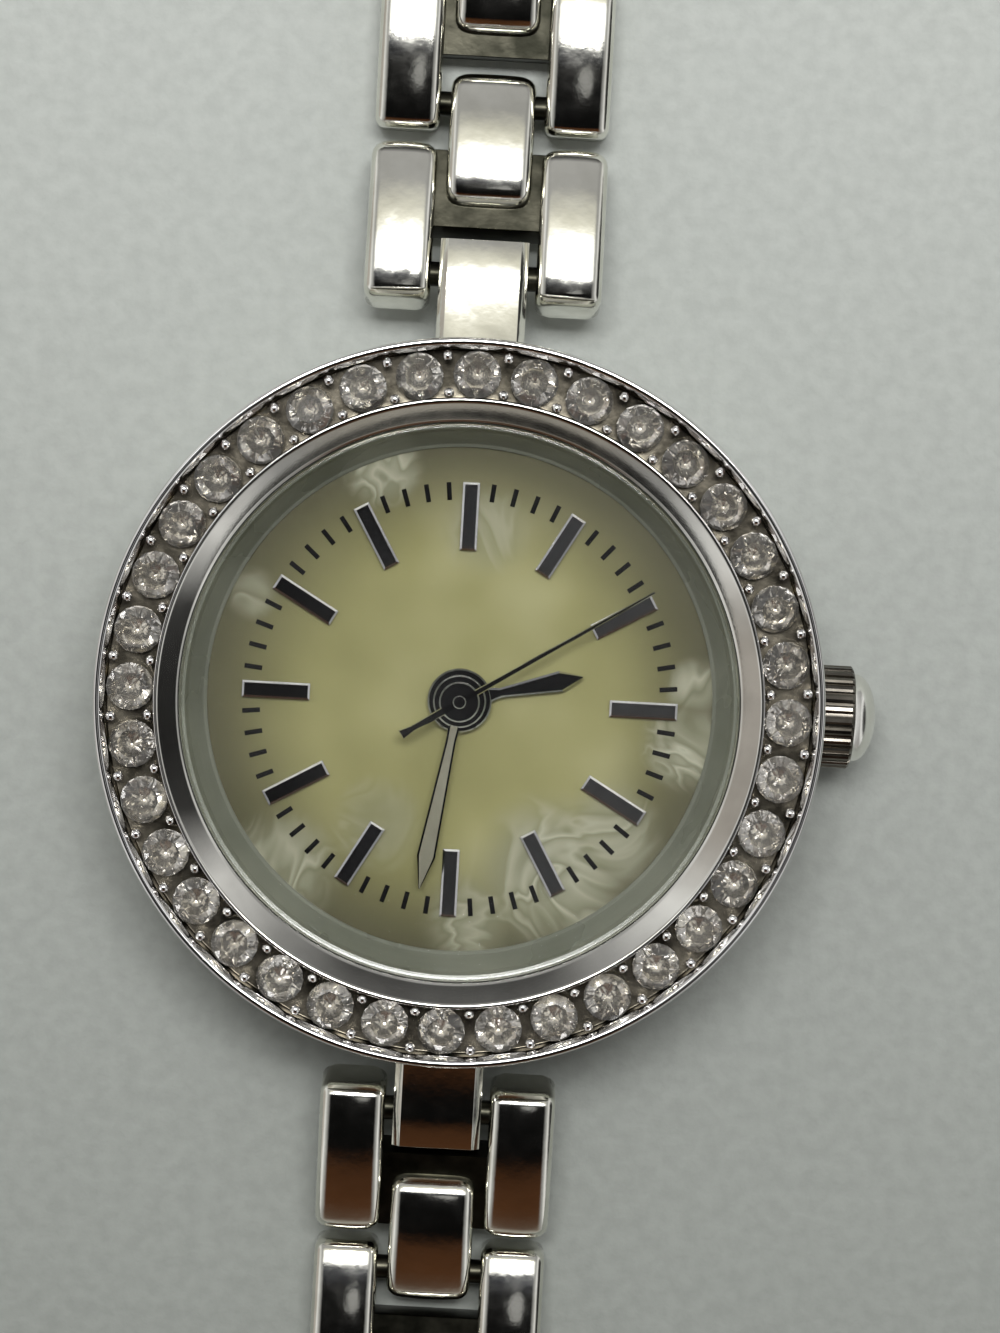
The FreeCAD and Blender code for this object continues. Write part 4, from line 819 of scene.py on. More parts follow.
class Pattern:
    """A Geometry Nodes tree with named inputs that places a seed mesh and gives it a material."""

    NAME = "pattern"
    INPUTS: tuple[tuple[str, str], ...] = ()

    def __init__(self) -> None:
        """Build the tree: its inputs, its own nodes, then plain geometry in one material."""
        self.tree = bpy.data.node_groups.new(self.NAME, "GeometryNodeTree")
        face = self.tree.interface
        for label, kind in (("Geometry", "Geometry"), *self.INPUTS, ("Material", "Material")):
            face.new_socket(label, in_out="INPUT", socket_type="NodeSocket" + kind)
        face.new_socket("Geometry", in_out="OUTPUT", socket_type="NodeSocketGeometry")
        kit = NodeKit(self.tree)
        given = kit.add("NodeGroupInput").outputs
        real = kit.add("GeometryNodeRealizeInstances", Geometry=self.wire(kit, given)).outputs["Geometry"]
        wear = kit.add("GeometryNodeSetMaterial", Geometry=real, Material=given["Material"])
        kit.link(wear.outputs["Geometry"], kit.add("NodeGroupOutput").inputs["Geometry"])

    def wire(self, kit: NodeKit, given: bpy.types.NodeOutputs) -> Socket:
        """Add the nodes that place the seed and return the placed geometry's socket."""
        raise NotImplementedError

    def turned(self, kit: NodeKit, geometry: Socket, **given: Socket) -> Socket:
        """Move and turn geometry.

        Args:
            kit: The tree to build in.
            geometry: What is moved.
            given: Single values by the input and axis that they drive, such as Rotation_Z.

        Returns:
            The moved geometry's socket.
        """
        node = kit.add("GeometryNodeTransform", Geometry=geometry)
        vectors: dict[str, bpy.types.Node] = {}
        for label, value in given.items():
            name, axis = label.split("_")
            if name not in vectors:
                vectors[name] = kit.add("CombineXYZ")
                kit.link(vectors[name].outputs["Vector"], node.inputs[name])
            kit.link(value, vectors[name].inputs[axis])
        return node.outputs["Geometry"]

    def run(self, seed: Mesh, finish: Finish, angle: float, values: dict[str, object]) -> Mesh:
        """Place a seed mesh.

        Args:
            seed: The mesh.
            finish: The finish of the result.
            angle: Edges sharper than this stay crisp.
            values: The tree's input values by name.

        Returns:
            The placed geometry as one plain mesh.
        """
        holder = new_object(self.NAME + "_seed", seed)
        modifier = holder.modifiers.new(self.NAME, "NODES")
        modifier.node_group = self.tree
        values = {**values, "Material": finish.material()}
        for item in self.tree.interface.items_tree:
            if item.in_out == "INPUT" and item.name in values:
                modifier[item.identifier] = values[item.name]
        return grown(holder, finish, angle)


class RingPattern(Pattern):
    """Sets copies of a piece round a ring, each turned to face outwards."""

    NAME = "ring_pattern"
    SEED = 7
    NEVER = 10000
    INPUTS = (
        ("Count", "Int"), ("Radius", "Float"), ("Height", "Float"), ("Phase", "Float"), ("Wobble", "Float"),
        ("Skip Every", "Int"),
    )

    def wire(self, kit: NodeKit, given: bpy.types.NodeOutputs) -> Socket:
        """A circle of points, one copy on each, turned by its place on the circle.

        Args:
            kit: The tree to build in.
            given: The tree's inputs.

        Returns:
            The ring's socket.
        """
        circle = kit.add("GeometryNodeMeshCircle", Vertices=given["Count"], Radius=given["Radius"])
        index = kit.add("GeometryNodeInputIndex").outputs["Index"]
        turn = kit.calc("MULTIPLY", index, kit.calc("DIVIDE", 2 * math.pi, given["Count"]))
        least = kit.calc("MULTIPLY", given["Wobble"], -1.0)
        spread = {"Min": least, "Max": given["Wobble"], "Seed": self.SEED}
        chance = kit.add("FunctionNodeRandomValue", data_type="FLOAT_VECTOR", **spread)
        leaned = kit.add("VectorMath", operation="ADD")
        kit.link(kit.add("CombineXYZ", Z=turn).outputs["Vector"], leaned.inputs[0])
        kit.link(chance.outputs[0], leaned.inputs[1])
        left = kit.calc("MODULO", kit.calc("ADD", index, 1.0), given["Skip Every"])
        copies = kit.add(
            "GeometryNodeInstanceOnPoints", Points=circle.outputs["Mesh"], Instance=given["Geometry"],
            Selection=kit.calc("GREATER_THAN", left, 0.5), Rotation=leaned.outputs["Vector"],
        )
        ring = {"Translation_Z": given["Height"], "Rotation_Z": given["Phase"]}
        return self.turned(kit, copies.outputs["Instances"], **ring)

    def grow(
        self, seed: Mesh, finish: Finish, count: int, radius: float, height: float,
        phase: float = 0.0, skip_every: int = NEVER, angle: float = 30.0, wobble: float = 0.0,
    ) -> Mesh:
        """Set copies of a mesh round a ring.

        Args:
            seed: The mesh to repeat, its outward side towards +x.
            finish: The finish of the copies.
            count: Places round the ring.
            radius: The ring's radius in millimetres.
            height: The ring's height in millimetres.
            phase: The bearing of the first place in degrees from +x.
            skip_every: Every so many places, one is left empty.
            angle: Edges sharper than this stay crisp.
            wobble: How far a copy may lean or turn by chance, in degrees.

        Returns:
            One plain mesh with all the copies.
        """
        return self.run(seed, finish, angle, {
            "Count": count, "Radius": radius * MM, "Height": height * MM, "Phase": math.radians(phase),
            "Wobble": math.radians(wobble), "Skip Every": skip_every,
        })


def grown(holder: bpy.types.Object, finish: Finish, angle: float) -> Mesh:
    """Turn an object's evaluated modifiers into a plain mesh and remove the object.

    Args:
        holder: The object with its modifiers.
        finish: The finish of the result.
        angle: Edges sharper than this stay crisp.

    Returns:
        The plain mesh.
    """
    seen = holder.evaluated_get(bpy.context.evaluated_depsgraph_get())
    mesh = bpy.data.meshes.new_from_object(seen)
    holder.modifiers.clear()
    bpy.data.objects.remove(holder)
    return dressed(mesh, finish, angle)


@dataclass
class Refiner:
    """Turns a construction mesh into a dressed one: doubles merged, flats cleaned, edges softly rounded."""

    merge: float = 0.001
    flat_angle: float = 1.0
    edge: float = 0.05
    edge_angle: float = 32.0
    segments: int = 2
    crisp: float = 8.0

    def mesh(self, node: str, finish: Finish) -> Mesh:
        """Refine one node.

        Args:
            node: The construction node's name.
            finish: What it wears.

        Returns:
            The refined mesh.
        """
        work = bmesh.new()
        work.from_mesh(frame["nodes"][node].data)
        bmesh.ops.remove_doubles(work, verts=work.verts, dist=self.merge * MM)
        bmesh.ops.dissolve_limit(
            work, angle_limit=math.radians(self.flat_angle), verts=work.verts, edges=work.edges
        )
        mesh = bpy.data.meshes.new(node + "_look")
        work.to_mesh(mesh)
        work.free()
        holder = new_object(node + "_holder", mesh)
        bevel = holder.modifiers.new("soft_edges", "BEVEL")
        bevel.width = self.edge * MM
        bevel.segments = self.segments
        bevel.limit_method = "ANGLE"
        bevel.angle_limit = math.radians(self.edge_angle)
        bevel.use_clamp_overlap = True
        return grown(holder, finish, self.edge_angle + self.crisp)

    def dress(self, node: str, finish: Finish) -> bpy.types.Object:
        """Refine a node and put the result in its place."""
        return finished(node + "_look", self.mesh(node, finish), body_of(node), [node])


# The head


@dataclass
class Bezel:
    """The stone-set bezel: the turned ring, its stones and the beads that hold them."""

    eye: float = 10.0
    outer: float = 13.0
    low: float = 6.2
    top: float = 7.5
    crest: float = 12.80
    inside: float = 10.85
    outside: float = 12.56
    floor: float = 6.62
    lip: float = 0.14
    mouth: float = 6.72
    stones: int = 36
    ring: float = 11.7
    stone_radius: float = 0.85
    girdle: float = 7.12
    crown_height: float = 0.30
    pavilion: float = 0.42
    foil_gap: float = 0.02
    bead: float = 0.19
    bead_height: float = 7.29
    bead_inset: float = 0.2
    step: float = 0.02
    lean: float = 5.0
    facets: int = 8
    table: float = 0.60
    low_share: float = 0.30
    low_depth: float = 0.8
    girdle_up: float = 0.02
    girdle_down: float = 0.03

    def ring_mesh(self) -> Mesh:
        """The turned ring with rounded rim and channel.

        Returns:
            The ring's mesh.
        """
        high, lip = self.top - self.step, self.inside - self.lip
        profile = rounded([
            (self.eye, self.low, 0.0), (self.outer, self.low, 0.15), (self.outer, self.top, 0.24),
            (self.crest - 0.04, self.top, 0.08), (self.outside + 0.03, self.top - 0.28, 0.04),
            (self.outside, self.floor, 0.05), (self.inside, self.floor, 0.05), (self.inside, high, 0.05),
            (lip, high, 0.08), (self.eye + 0.10, self.mouth + 0.12, 0.03),
            (self.eye, self.mouth + 0.06, 0.03),
        ])
        ring = dressed(lathe("bezel_ring", profile, 180), FINISHES.polished, 50)
        # the channel floor takes the painted shade under the stones
        repainted(ring, FINISHES.channel, self.in_channel)
        return repainted(ring, FINISHES.flange, self.on_flange)

    def in_channel(self, face: bpy.types.MeshPolygon) -> bool:
        """Whether a face belongs to the channel that holds the stones."""
        within = self.inside - self.step < reach(face) < self.outside + self.step
        return within and face.center.z / MM < self.top - 0.05

    def on_flange(self, face: bpy.types.MeshPolygon) -> bool:
        """Whether a face belongs to the slope between the channel and the crystal."""
        return reach(face) < self.inside - 0.06 and face.center.z / MM > self.low + 0.1

    def stone_mesh(self) -> Mesh:
        """One brilliant: a table, kites and stars above the girdle, and a pavilion below.

        Returns:
            The stone's mesh, its girdle at height nought.
        """
        r, n = self.stone_radius, self.facets
        rows = [
            (self.table * r, self.crown_height, n, 0.5), (r, self.girdle_up, 2 * n, 0.0),
            (r, -self.girdle_down, 2 * n, 0.0), (self.low_share * r, -self.pavilion * self.low_depth, n, 0.5),
        ]
        points: list[Point3] = []
        starts = []
        for out, height, count, shift in rows:
            starts.append(len(points))
            for i in range(count):
                a = 2 * math.pi * (i + shift) / count
                points.append((out * math.cos(a), out * math.sin(a), height))
        table, rim, under, low = starts
        tip = len(points)
        points.append((0.0, 0.0, -self.pavilion))
        faces = [[table + i for i in range(n)]]
        for i in range(n):
            j, h = (i + 1) % n, (i - 1) % n
            a, b, c = 2 * i, 2 * i + 1, (2 * i + 2) % (2 * n)
            faces += [[table + i, rim + b, rim + c], [table + i, rim + c, table + j]]
            faces.append([table + i, rim + a, rim + b])
            faces += [[rim + one, under + one, under + two, rim + two] for one, two in ((a, b), (b, c))]
            faces += [[under + b, under + a, low + i], [under + c, under + b, low + i]]
            faces.append([under + a, low + i, tip, low + h])
        return mesh_from("stone", points, faces)

    def bead_mesh(self) -> Mesh:
        """One holding bead.

        Returns:
            The bead's mesh about the origin.
        """
        work = bmesh.new()
        bmesh.ops.create_icosphere(work, subdivisions=2, radius=self.bead * MM)
        mesh = bpy.data.meshes.new("bead")
        work.to_mesh(mesh)
        work.free()
        return mesh

    def cup_mesh(self) -> Mesh:
        """The bright foil that backs a stone: a thin cup round its pavilion.

        Returns:
            The cup's mesh, its mouth just under the girdle.
        """
        r, deep, gap = self.stone_radius - 0.03, -self.pavilion, self.foil_gap
        low, share = deep * self.low_depth, self.low_share
        return lathe("foil", [
            (0.0, deep - gap), (share * r, low - gap), (r, -0.05 - gap), (r, -0.07 - gap),
            (share * r, low - 2 * gap), (0.0, deep - 2 * gap),
        ], 16)

    def build(self, rings: RingPattern) -> None:
        """Put the bezel in the scene.

        Args:
            rings: The tree that repeats a piece round a ring.
        """
        half = 180.0 / self.stones
        beads = [
            rings.grow(self.bead_mesh(), FINISHES.polished, self.stones, out, self.bead_height, half)
            for out in (self.inside + self.bead_inset, self.outside - self.bead_inset)
        ]
        mesh = joined("bezel_ring", [self.ring_mesh()] + beads)
        finished("bezel_look", mesh, "root", ["bezel"])
        seat = (self.stones, self.ring, self.girdle)
        stones = rings.grow(self.stone_mesh(), FINISHES.stone, *seat, angle=5, wobble=self.lean)
        finished("bezel_stones_look", stones, "root", ["bezel_stones"])
        cups = rings.grow(self.cup_mesh(), FINISHES.foil, *seat, angle=20)
        finished("stone_foils", cups, "root")


@dataclass
class Glazing:
    """The crystal and the stepped ring under it."""

    radius: float = 9.95
    low: float = 6.2
    top: float = 6.86
    edge: float = 0.08
    bore: float = 9.05
    dial_top: float = 4.7
    ring_outer: float = 10.74
    land: float = 0.95
    steps: int = 3

    def crystal_mesh(self) -> Mesh:
        """The crystal with a rounded edge.

        Returns:
            The crystal's mesh.
        """
        flat = self.radius - self.edge - 0.1
        profile = [(0.0, self.low), (flat, self.low)] + rounded([
            (self.radius, self.low, 0.03), (self.radius, self.top - self.edge, 0.03),
            (self.radius - self.edge, self.top, 0.03), (flat, self.top, 0.0),
        ]) + [(0.0, self.top)]
        return dressed(lathe("crystal", profile, 160), FINISHES.crystal, 25)

    def ring_mesh(self) -> Mesh:
        """The ring between dial and crystal: shallow steps down to the dial.

        Returns:
            The ring's mesh.
        """
        land = self.ring_outer - self.land
        corners = [(self.bore, self.dial_top, 0.0), (self.ring_outer, self.dial_top, 0.0),
                   (self.ring_outer, self.low, 0.0), (land, self.low, 0.03)]
        for step in range(self.steps):
            share = 1 - (step + 1) / (self.steps + 0.6)
            out = self.bore + (land - self.bore) * share
            height = self.dial_top + 0.12 + (self.low - self.dial_top - 0.12) * share
            corners += [(out + 0.10, height + 0.02, 0.02), (out, height - 0.16, 0.02)]
        corners.append((self.bore, self.dial_top + 0.1, 0.02))
        return dressed(lathe("rehaut", rounded(corners, 2), 160), FINISHES.rehaut, 28)

    def build(self) -> None:
        """Put the crystal and the ring in the scene."""
        finished("crystal_look", self.crystal_mesh(), "root", ["crystal"])
        finished("rehaut_ring_look", self.ring_mesh(), "root", ["rehaut_ring"])


@dataclass
class Face:
    """The dial with its printed minute ticks and applied batons."""

    top: float = 4.7
    low: float = 4.3
    radius: float = 10.2
    hole: float = 0.85
    tick_inner: float = 7.16
    tick_outer: float = 7.80
    tick_width: float = 0.17
    ink: float = 0.012
    baton_inner: float = 5.37
    baton_outer: float = 7.8
    baton_width: float = 0.6
    baton_height: float = 0.2
    baton_bevel: float = 0.075
    bevel_drop: float = 0.4
    minutes: int = 60
    hours: int = 12

    def bar(self, name: str, length: float, width: float, height: float, inset: float) -> Mesh:
        """A bar that lies along x.

        Args:
            name: The mesh's name.
            length: Its length.
            width: Its width.
            height: Its height above nought.
            inset: Its bevel's width.

        Returns:
            The bar's mesh.
        """
        corners = ((-1, -1), (1, -1), (1, 1), (-1, 1))
        levels = ((0.0, 0.0), (height - inset * self.bevel_drop, 0.0), (height, inset))
        return loft(name, [
            [(i * (length / 2 - draw), j * (width / 2 - draw), z) for i, j in corners] for z, draw in levels
        ])

    def build(self, rings: RingPattern) -> None:
        """Put the dial, its ticks and its batons in the scene.

        Args:
            rings: The tree that repeats a piece round a ring.
        """
        hole, radius = self.hole, self.radius
        plate = lathe("dial", [(hole, self.low), (radius, self.low), (radius, self.top), (hole, self.top)])
        finished("dial_look", dressed(plate, FINISHES.dial), "root", ["dial"])
        inner, outer = self.tick_inner, self.tick_outer
        tick = self.bar("tick", outer - inner, self.tick_width, self.ink, 0.001)
        ticks = rings.grow(
            tick, FINISHES.ink, self.minutes, (inner + outer) / 2, self.top, 360 / self.minutes,
            self.minutes // self.hours,
        )
        finished("minute_ticks", ticks, "root")
        inner, outer = self.baton_inner, self.baton_outer
        baton = self.bar("baton", outer - inner, self.baton_width, self.baton_height, self.baton_bevel)
        # the batons' tops take the painted reflection; their bevels take the bright edge metal
        batons = rings.grow(baton, FINISHES.trim, self.hours, (inner + outer) / 2, self.top, angle=10)
        repainted(batons, FINISHES.edge, bevelled)
        finished("hour_markers_look", batons, "root", ["hour_markers"])


@dataclass
class Hub:
    """One disc of the hub: dark on top, with a bright turned edge."""

    radius: float
    low: float
    high: float
    bore: float = 0.0
    chamfer: float = 0.06

    def mesh(self) -> Mesh:
        """Turn the disc.

        Returns:
            The disc's mesh with its two finishes.
        """
        size = min(self.chamfer, (self.high - self.low) * 0.6)
        profile = [
            (self.bore, self.low), (self.radius, self.low), (self.radius, self.high - size),
            (self.radius - size, self.high), (self.bore, self.high),
        ]
        disc = dressed(lathe("disc", profile, 72), FINISHES.dark_hand, 25)
        return repainted(disc, FINISHES.edge, bevelled)


@dataclass
class Hand:
    """One hand: a blade with bevelled edges and the discs of its hub."""

    node: str
    body: str
    bearing: float
    low: float
    thick: float
    outline: Sequence[Point2]
    face: Finish
    rim: Finish
    hubs: Sequence[Hub]
    inset: float = 0.07
    bevel_drop: float = 0.4

    def blade(self) -> Mesh:
        """The blade: flat below and on top, with sloping edges in their own finish.

        Returns:
            The blade's mesh.
        """
        high = self.low + self.thick
        tops = []
        for i, (x, y) in enumerate(self.outline):
            before, after = self.outline[i - 1], self.outline[(i + 1) % len(self.outline)]
            one = Vector((x - before[0], y - before[1])).normalized()
            two = Vector((after[0] - x, after[1] - y)).normalized()
            inwards = Vector((-one.y - two.y, one.x + two.x))
            room = max(0.3, inwards.length_squared / 2)
            step = inwards / room * min(self.inset, abs(x) * 0.8)
            tops.append((x + step.x, y + step.y, high))
        shoulder = high - self.thick * self.bevel_drop
        rows = [[(x, y, z) for x, y in self.outline] for z in (self.low, shoulder)]
        blade = dressed(loft(self.node, rows + [tops]), self.face, 8)
        return repainted(blade, self.rim, lambda face: face.normal.z < LEVEL)

    def build(self) -> None:
        """Turn the blade to its clock bearing and put the hand in the scene."""
        blade = self.blade()
        blade.transform(Matrix.Rotation(math.radians(-self.bearing), 4, "Z"))
        mesh = joined(self.node, [blade] + [hub.mesh() for hub in self.hubs])
        finished(self.node + "_look", mesh, self.body, [self.node])


def lance(length: float, belly: float, width: float, neck: float, root: float) -> list[Point2]:
    """A hand's outline, anticlockwise: a root flaring into the hub, neck, belly and point."""
    right = [(root / 2, 0.6), (neck / 2, 1.5), (width / 2, belly), (0.02, length)]
    return [(-x, y) for x, y in right[:1]] + right + [(-x, y) for x, y in reversed(right[1:])]


def needle(length: float, tail: float) -> list[Point2]:
    """The second hand's outline, anticlockwise: a slim point and a flared tail."""
    right = [(0.19, -tail), (0.11, -tail + 0.5), (0.15, -0.5), (0.11, 0.5), (0.045, length)]
    return right + [(-x, y) for x, y in reversed(right)]


@dataclass
class Crown:
    """The crown: a fluted barrel with a satin domed cap."""

    radius: float = 1.87
    near: float = 12.6
    edge: float = 14.3
    top: float = 15.15
    dome: float = 1.6
    bore: float = 1.05
    flutes: int = 28
    rib: float = 0.15
    rib_wide: float = 0.17
    rib_narrow: float = 0.10
    rib_root: float = 0.12
    rib_chamfer: float = 0.08
    socket_end: float = 13.7
    cap_rim: float = 0.06
    dome_steps: int = 10
    axis_height: float = 2.9

    def bar(self, low: float, high: float) -> Mesh:
        """One rib of the barrel, its outer side towards +x.

        Args:
            low: Where it starts along the crown's axis.
            high: Where it ends.

        Returns:
            The rib's mesh.
        """
        wide, narrow, deep = self.rib_wide, self.rib_narrow, self.rib
        half = [(deep, narrow * 0.6), (deep - 0.05, wide * 0.8), (-self.rib_root, wide)]
        section = [(x, -y) for x, y in reversed(half)] + half
        chamfer = self.rib_chamfer
        levels = [(low, 0.6), (low + chamfer, 1.0), (high - chamfer, 1.0), (high, 0.4)]
        return loft("rib", [[(x * share if x > 0 else x, y, z) for x, y in section] for z, share in levels])

    def build(self, rings: RingPattern) -> None:
        """Put the crown in the scene.

        Args:
            rings: The tree that repeats a piece round a ring.
        """
        core, dome = self.radius - self.rib * 0.9, self.edge + self.cap_rim
        turns = [math.pi / 2 * i / self.dome_steps for i in range(self.dome_steps + 1)]
        profile = [(self.dome * math.sin(a), dome + (self.top - dome) * math.cos(a)) for a in turns]
        profile += rounded([
            (self.dome + self.cap_rim, self.edge, 0.02), (core, self.edge - 0.05, 0.08),
            (core, self.near, 0.05), (self.bore, self.near, 0.03), (self.bore, self.socket_end, 0.0),
            (0.0, self.socket_end, 0.0),
        ], 6)
        barrel = dressed(lathe("crown", profile, 96), FINISHES.barrel, 40)
        repainted(barrel, FINISHES.cap, lambda face: face.center.z / MM > self.edge + 0.02)
        rib = self.bar(self.near + 0.03, self.edge - 0.05)
        ribs = rings.grow(rib, FINISHES.barrel, self.flutes, self.radius - self.rib, 0.0, angle=28)
        mesh = joined("crown", [barrel, ribs])
        mesh.transform(Matrix.Rotation(math.radians(90), 4, "Y"))
        mesh.transform(Matrix.Translation((0, 0, self.axis_height * MM)))
        finished("crown_look", mesh, "crown", ["crown"])


# The strap and the works


@dataclass
class Lobe:
    """A cushion-shaped lobe of a cast link, long in y, with rounded long edges and rolled ends."""

    left: float
    right: float
    near: float
    far: float
    low: float = -1.4
    shoulder: float = 0.58
    crown: float = 0.36
    round_edge: float = 0.42
    foot: float = 0.2
    near_roll: float = 0.4
    far_roll: float = 0.65
    belly: float = 0.04
    draw_in: float = 0.85
    drop: float = 0.9
    pin: float = math.inf
    middle_rows: int = 8
    arc: int = 4

    def underside(self, along: float) -> float:
        """The height of the underside, which turns up round the next casting's pin past it."""
        past = max(0.0, along - self.pin)
        return -math.sqrt(self.low ** 2 - past ** 2)

    def station(self, along: float) -> tuple[float, float]:
        """How far the sides draw in and the top drops at a place.

        Args:
            along: The place in y.

        Returns:
            The inset of each side and the height of the top.
        """
        middle, half = (self.near + self.far) / 2, (self.far - self.near) / 2
        share = (along - middle) / half
        top = self.shoulder + self.crown * (1 - share * share)
        inset = 0.0
        for edge, roll in ((along - self.near, self.near_roll), (self.far - along, self.far_roll)):
            if edge < roll:
                turn = 1 - math.sqrt(max(0.0, 1 - (1 - edge / roll) ** 2))
                inset = roll * self.draw_in * turn
                top -= roll * self.drop * turn
        return inset, top

    def mesh(self) -> Mesh:
        """Loft the lobe from its near end to its far end.

        Returns:
            The lobe's mesh.
        """
        ends = (0.0, 0.04, 0.15, 0.35, 0.65, 1.0)
        places = [self.near + self.near_roll * e for e in ends]
        last = self.far - self.far_roll
        count = self.middle_rows
        places += [places[-1] + (last - places[-1]) * i / count for i in range(1, count)]
        places += [self.far - self.far_roll * e for e in reversed(ends)]
        middle, half = (self.left + self.right) / 2, (self.right - self.left) / 2
        rows: list[list[Point3]] = []
        for along in places:
            inset, top = self.station(along)
            w, r, low = half - inset, self.round_edge, self.underside(along)
            side = [(w - self.foot, low), (w, low + self.foot)]
            for step in range(self.arc + 1):
                a = math.radians(90 * step / self.arc)
                side.append((w - r + r * math.cos(a), top - r + r * math.sin(a)))
            side.append(((w - r) * 0.5, top + self.belly * 0.8))
            section = side + [(0.0, top + self.belly)] + [(-x, z) for x, z in reversed(side)]
            rows.append([(middle + x, along, z) for x, z in section])
        return loft("lobe", rows)


class Heading(Enum):
    """The way that a strand of the strap leads off from the head, in degrees from twelve."""

    UPPER = 0.0
    LOWER = 180.0


class LinkPlace(Pattern):
    """Lays a link at its station along a strand."""

    NAME = "link_place"
    CRISP = 40.0
    INPUTS = (("Station", "Float"), ("Height", "Float"), ("Slope", "Float"), ("Heading", "Float"))

    def wire(self, kit: NodeKit, given: bpy.types.NodeOutputs) -> Socket:
        """Lean the link, set it at its station, then turn it with its strand.

        Args:
            kit: The tree to build in.
            given: The tree's inputs.

        Returns:
            The laid link's socket.
        """
        station = {"Translation_Y": given["Station"], "Translation_Z": given["Height"]}
        lean = self.turned(kit, given["Geometry"], Rotation_X=given["Slope"], **station)
        return self.turned(kit, lean, Rotation_Z=given["Heading"])

    def lay(
        self, seed: Mesh, finish: Finish, station: float, height: float, slope: float, heading: Heading
    ) -> Mesh:
        """Lay a link.

        Args:
            seed: The link about its own pin.
            finish: What it wears.
            station: How far its pin lies from the head's centre, in millimetres.
            height: Its pin's height.
            slope: How far it leans down, in degrees.
            heading: The strand that it belongs to.

        Returns:
            The laid link as a plain mesh.
        """
        return self.run(seed, finish, self.CRISP, {
            "Station": station * MM, "Height": height * MM, "Slope": math.radians(-slope),
            "Heading": math.radians(heading.value),
        })


@dataclass
class Strap:
    """The cast links of both strands, and the clasp refined from its construction nodes."""

    links: int = 9
    pitch: float = 6.45
    lug_pin: float = 15.25
    lug_height: float = 3.0
    rest_height: float = 1.4
    tail: float = 1.0
    gap: float = 0.53
    middle: float = 1.55
    lobe_gap: float = 0.35
    centre_near: float = 2.55
    centre_reach: float = 1.17
    web_near: float = 1.75
    web_far: float = 4.7
    web_top: float = 0.1
    web_bevel: float = 0.08
    web_overlap: float = 0.3
    pin_overlap: float = 0.2
    centre_roll: float = 0.6
    under: float = 1.4
    pin: float = 0.45
    refiner: Refiner = field(default_factory=lambda: Refiner(edge=0.12, edge_angle=30.0, segments=3))

    def slope(self) -> float:
        """How far the first link leans down, in degrees."""
        return math.degrees(math.asin((self.lug_height - self.rest_height) / self.pitch))

    def web(self, half: float) -> Mesh:
        """The low web between the lobes.

        Args:
            half: Half its width.

        Returns:
            The web's mesh.
        """
        near, far = self.web_near, self.web_far
        plan = [(-half, near), (half, near), (half, far), (-half, far)]
        return prism("web", plan, -self.under, self.web_top, self.web_bevel)

    def pin_mesh(self, half: float) -> Mesh:
        """The pin between the side lobes.

        Args:
            half: Half its length.

        Returns:
            The pin's mesh.
        """
        pin = lathe("pin", [(0.0, -half), (self.pin, -half), (self.pin, half), (0.0, half)], 24)
        pin.transform(Matrix.Rotation(math.radians(90), 4, "Y"))
        return pin

    def lobes(self, outer: float) -> Mesh:
        """The polished lobes of one casting about its own pin.

        Args:
            outer: Half its overall width.

        Returns:
            The lobes' mesh.
        """
        inner = self.middle + self.lobe_gap
        front = self.pitch - self.tail - self.gap
        lobes = [
            Lobe(-outer, -inner, -self.tail, front), Lobe(inner, outer, -self.tail, front),
            Lobe(-self.middle, self.middle, self.centre_near, self.pitch + self.centre_reach,
                 near_roll=self.centre_roll, pin=self.pitch),
        ]
        return joined("lobes", [lobe.mesh() for lobe in lobes])

    def recess(self) -> Mesh:
        """The near-black web and pin of one casting.

        Returns:
            Their mesh about the casting's own pin.
        """
        inner = self.middle + self.lobe_gap
        web, pin = self.web(inner + self.web_overlap), self.pin_mesh(inner + self.pin_overlap)
        return joined("recess", [web, pin])

    def build(self, places: LinkPlace) -> None:
        """Put the links and the clasp in the scene.

        Args:
            places: The tree that lays a link at its station.
        """
        flat = self.lug_pin + self.pitch * math.cos(math.radians(self.slope()))
        for heading in Heading:
            for number in range(1, self.links + 1):
                node = f"{heading.name.lower()}_link_{number}"
                spot = (self.lug_pin, self.lug_height, self.slope())
                if number > 1:
                    spot = (flat + self.pitch * (number - 2), self.rest_height, 0.0)
                lobes = self.lobes(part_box(node)[1].x / MM)
                parts = ((lobes, FINISHES.cast), (self.recess(), FINISHES.recess))
                mesh = joined(node, [places.lay(seed, finish, *spot, heading) for seed, finish in parts])
                finished(node + "_look", mesh, body_of(node), [node])
        for node in ("clasp_base", "clasp_cover", "clasp_catch"):
            self.refiner.dress(node, FINISHES.cast)


@dataclass
class Works:
    """The construction nodes that are shown as they are, by their finish."""

    groups: tuple[tuple[Finish, str], ...] = (
        (FINISHES.seal, "caseback_gasket crown_gasket"),
        (FINISHES.holder, "movement_holder"),
        (FINISHES.brass, "main_plate train_bridge second_wheel third_wheel centre_wheel cannon_pinion "
                         "minute_wheel setting_wheel hour_wheel intermediate_wheel"),
        (FINISHES.steel, "movement_screws battery_contact stator rotor stem crown_tube setting_lever "
                         "sliding_pinion yoke"),
        (FINISHES.cell, "battery"),
        (FINISHES.board, "circuit_board"),
        (FINISHES.copper, "coil"),
    )

    def build(self) -> None:
        """Dress the nodes."""
        for finish, names in self.groups:
            for node in names.split():
                mesh = frame["nodes"][node].data
                mesh.materials.clear()
                mesh.materials.append(finish.material())
                LOG.info("%s dressed in %s", node, finish.name)


# The stage


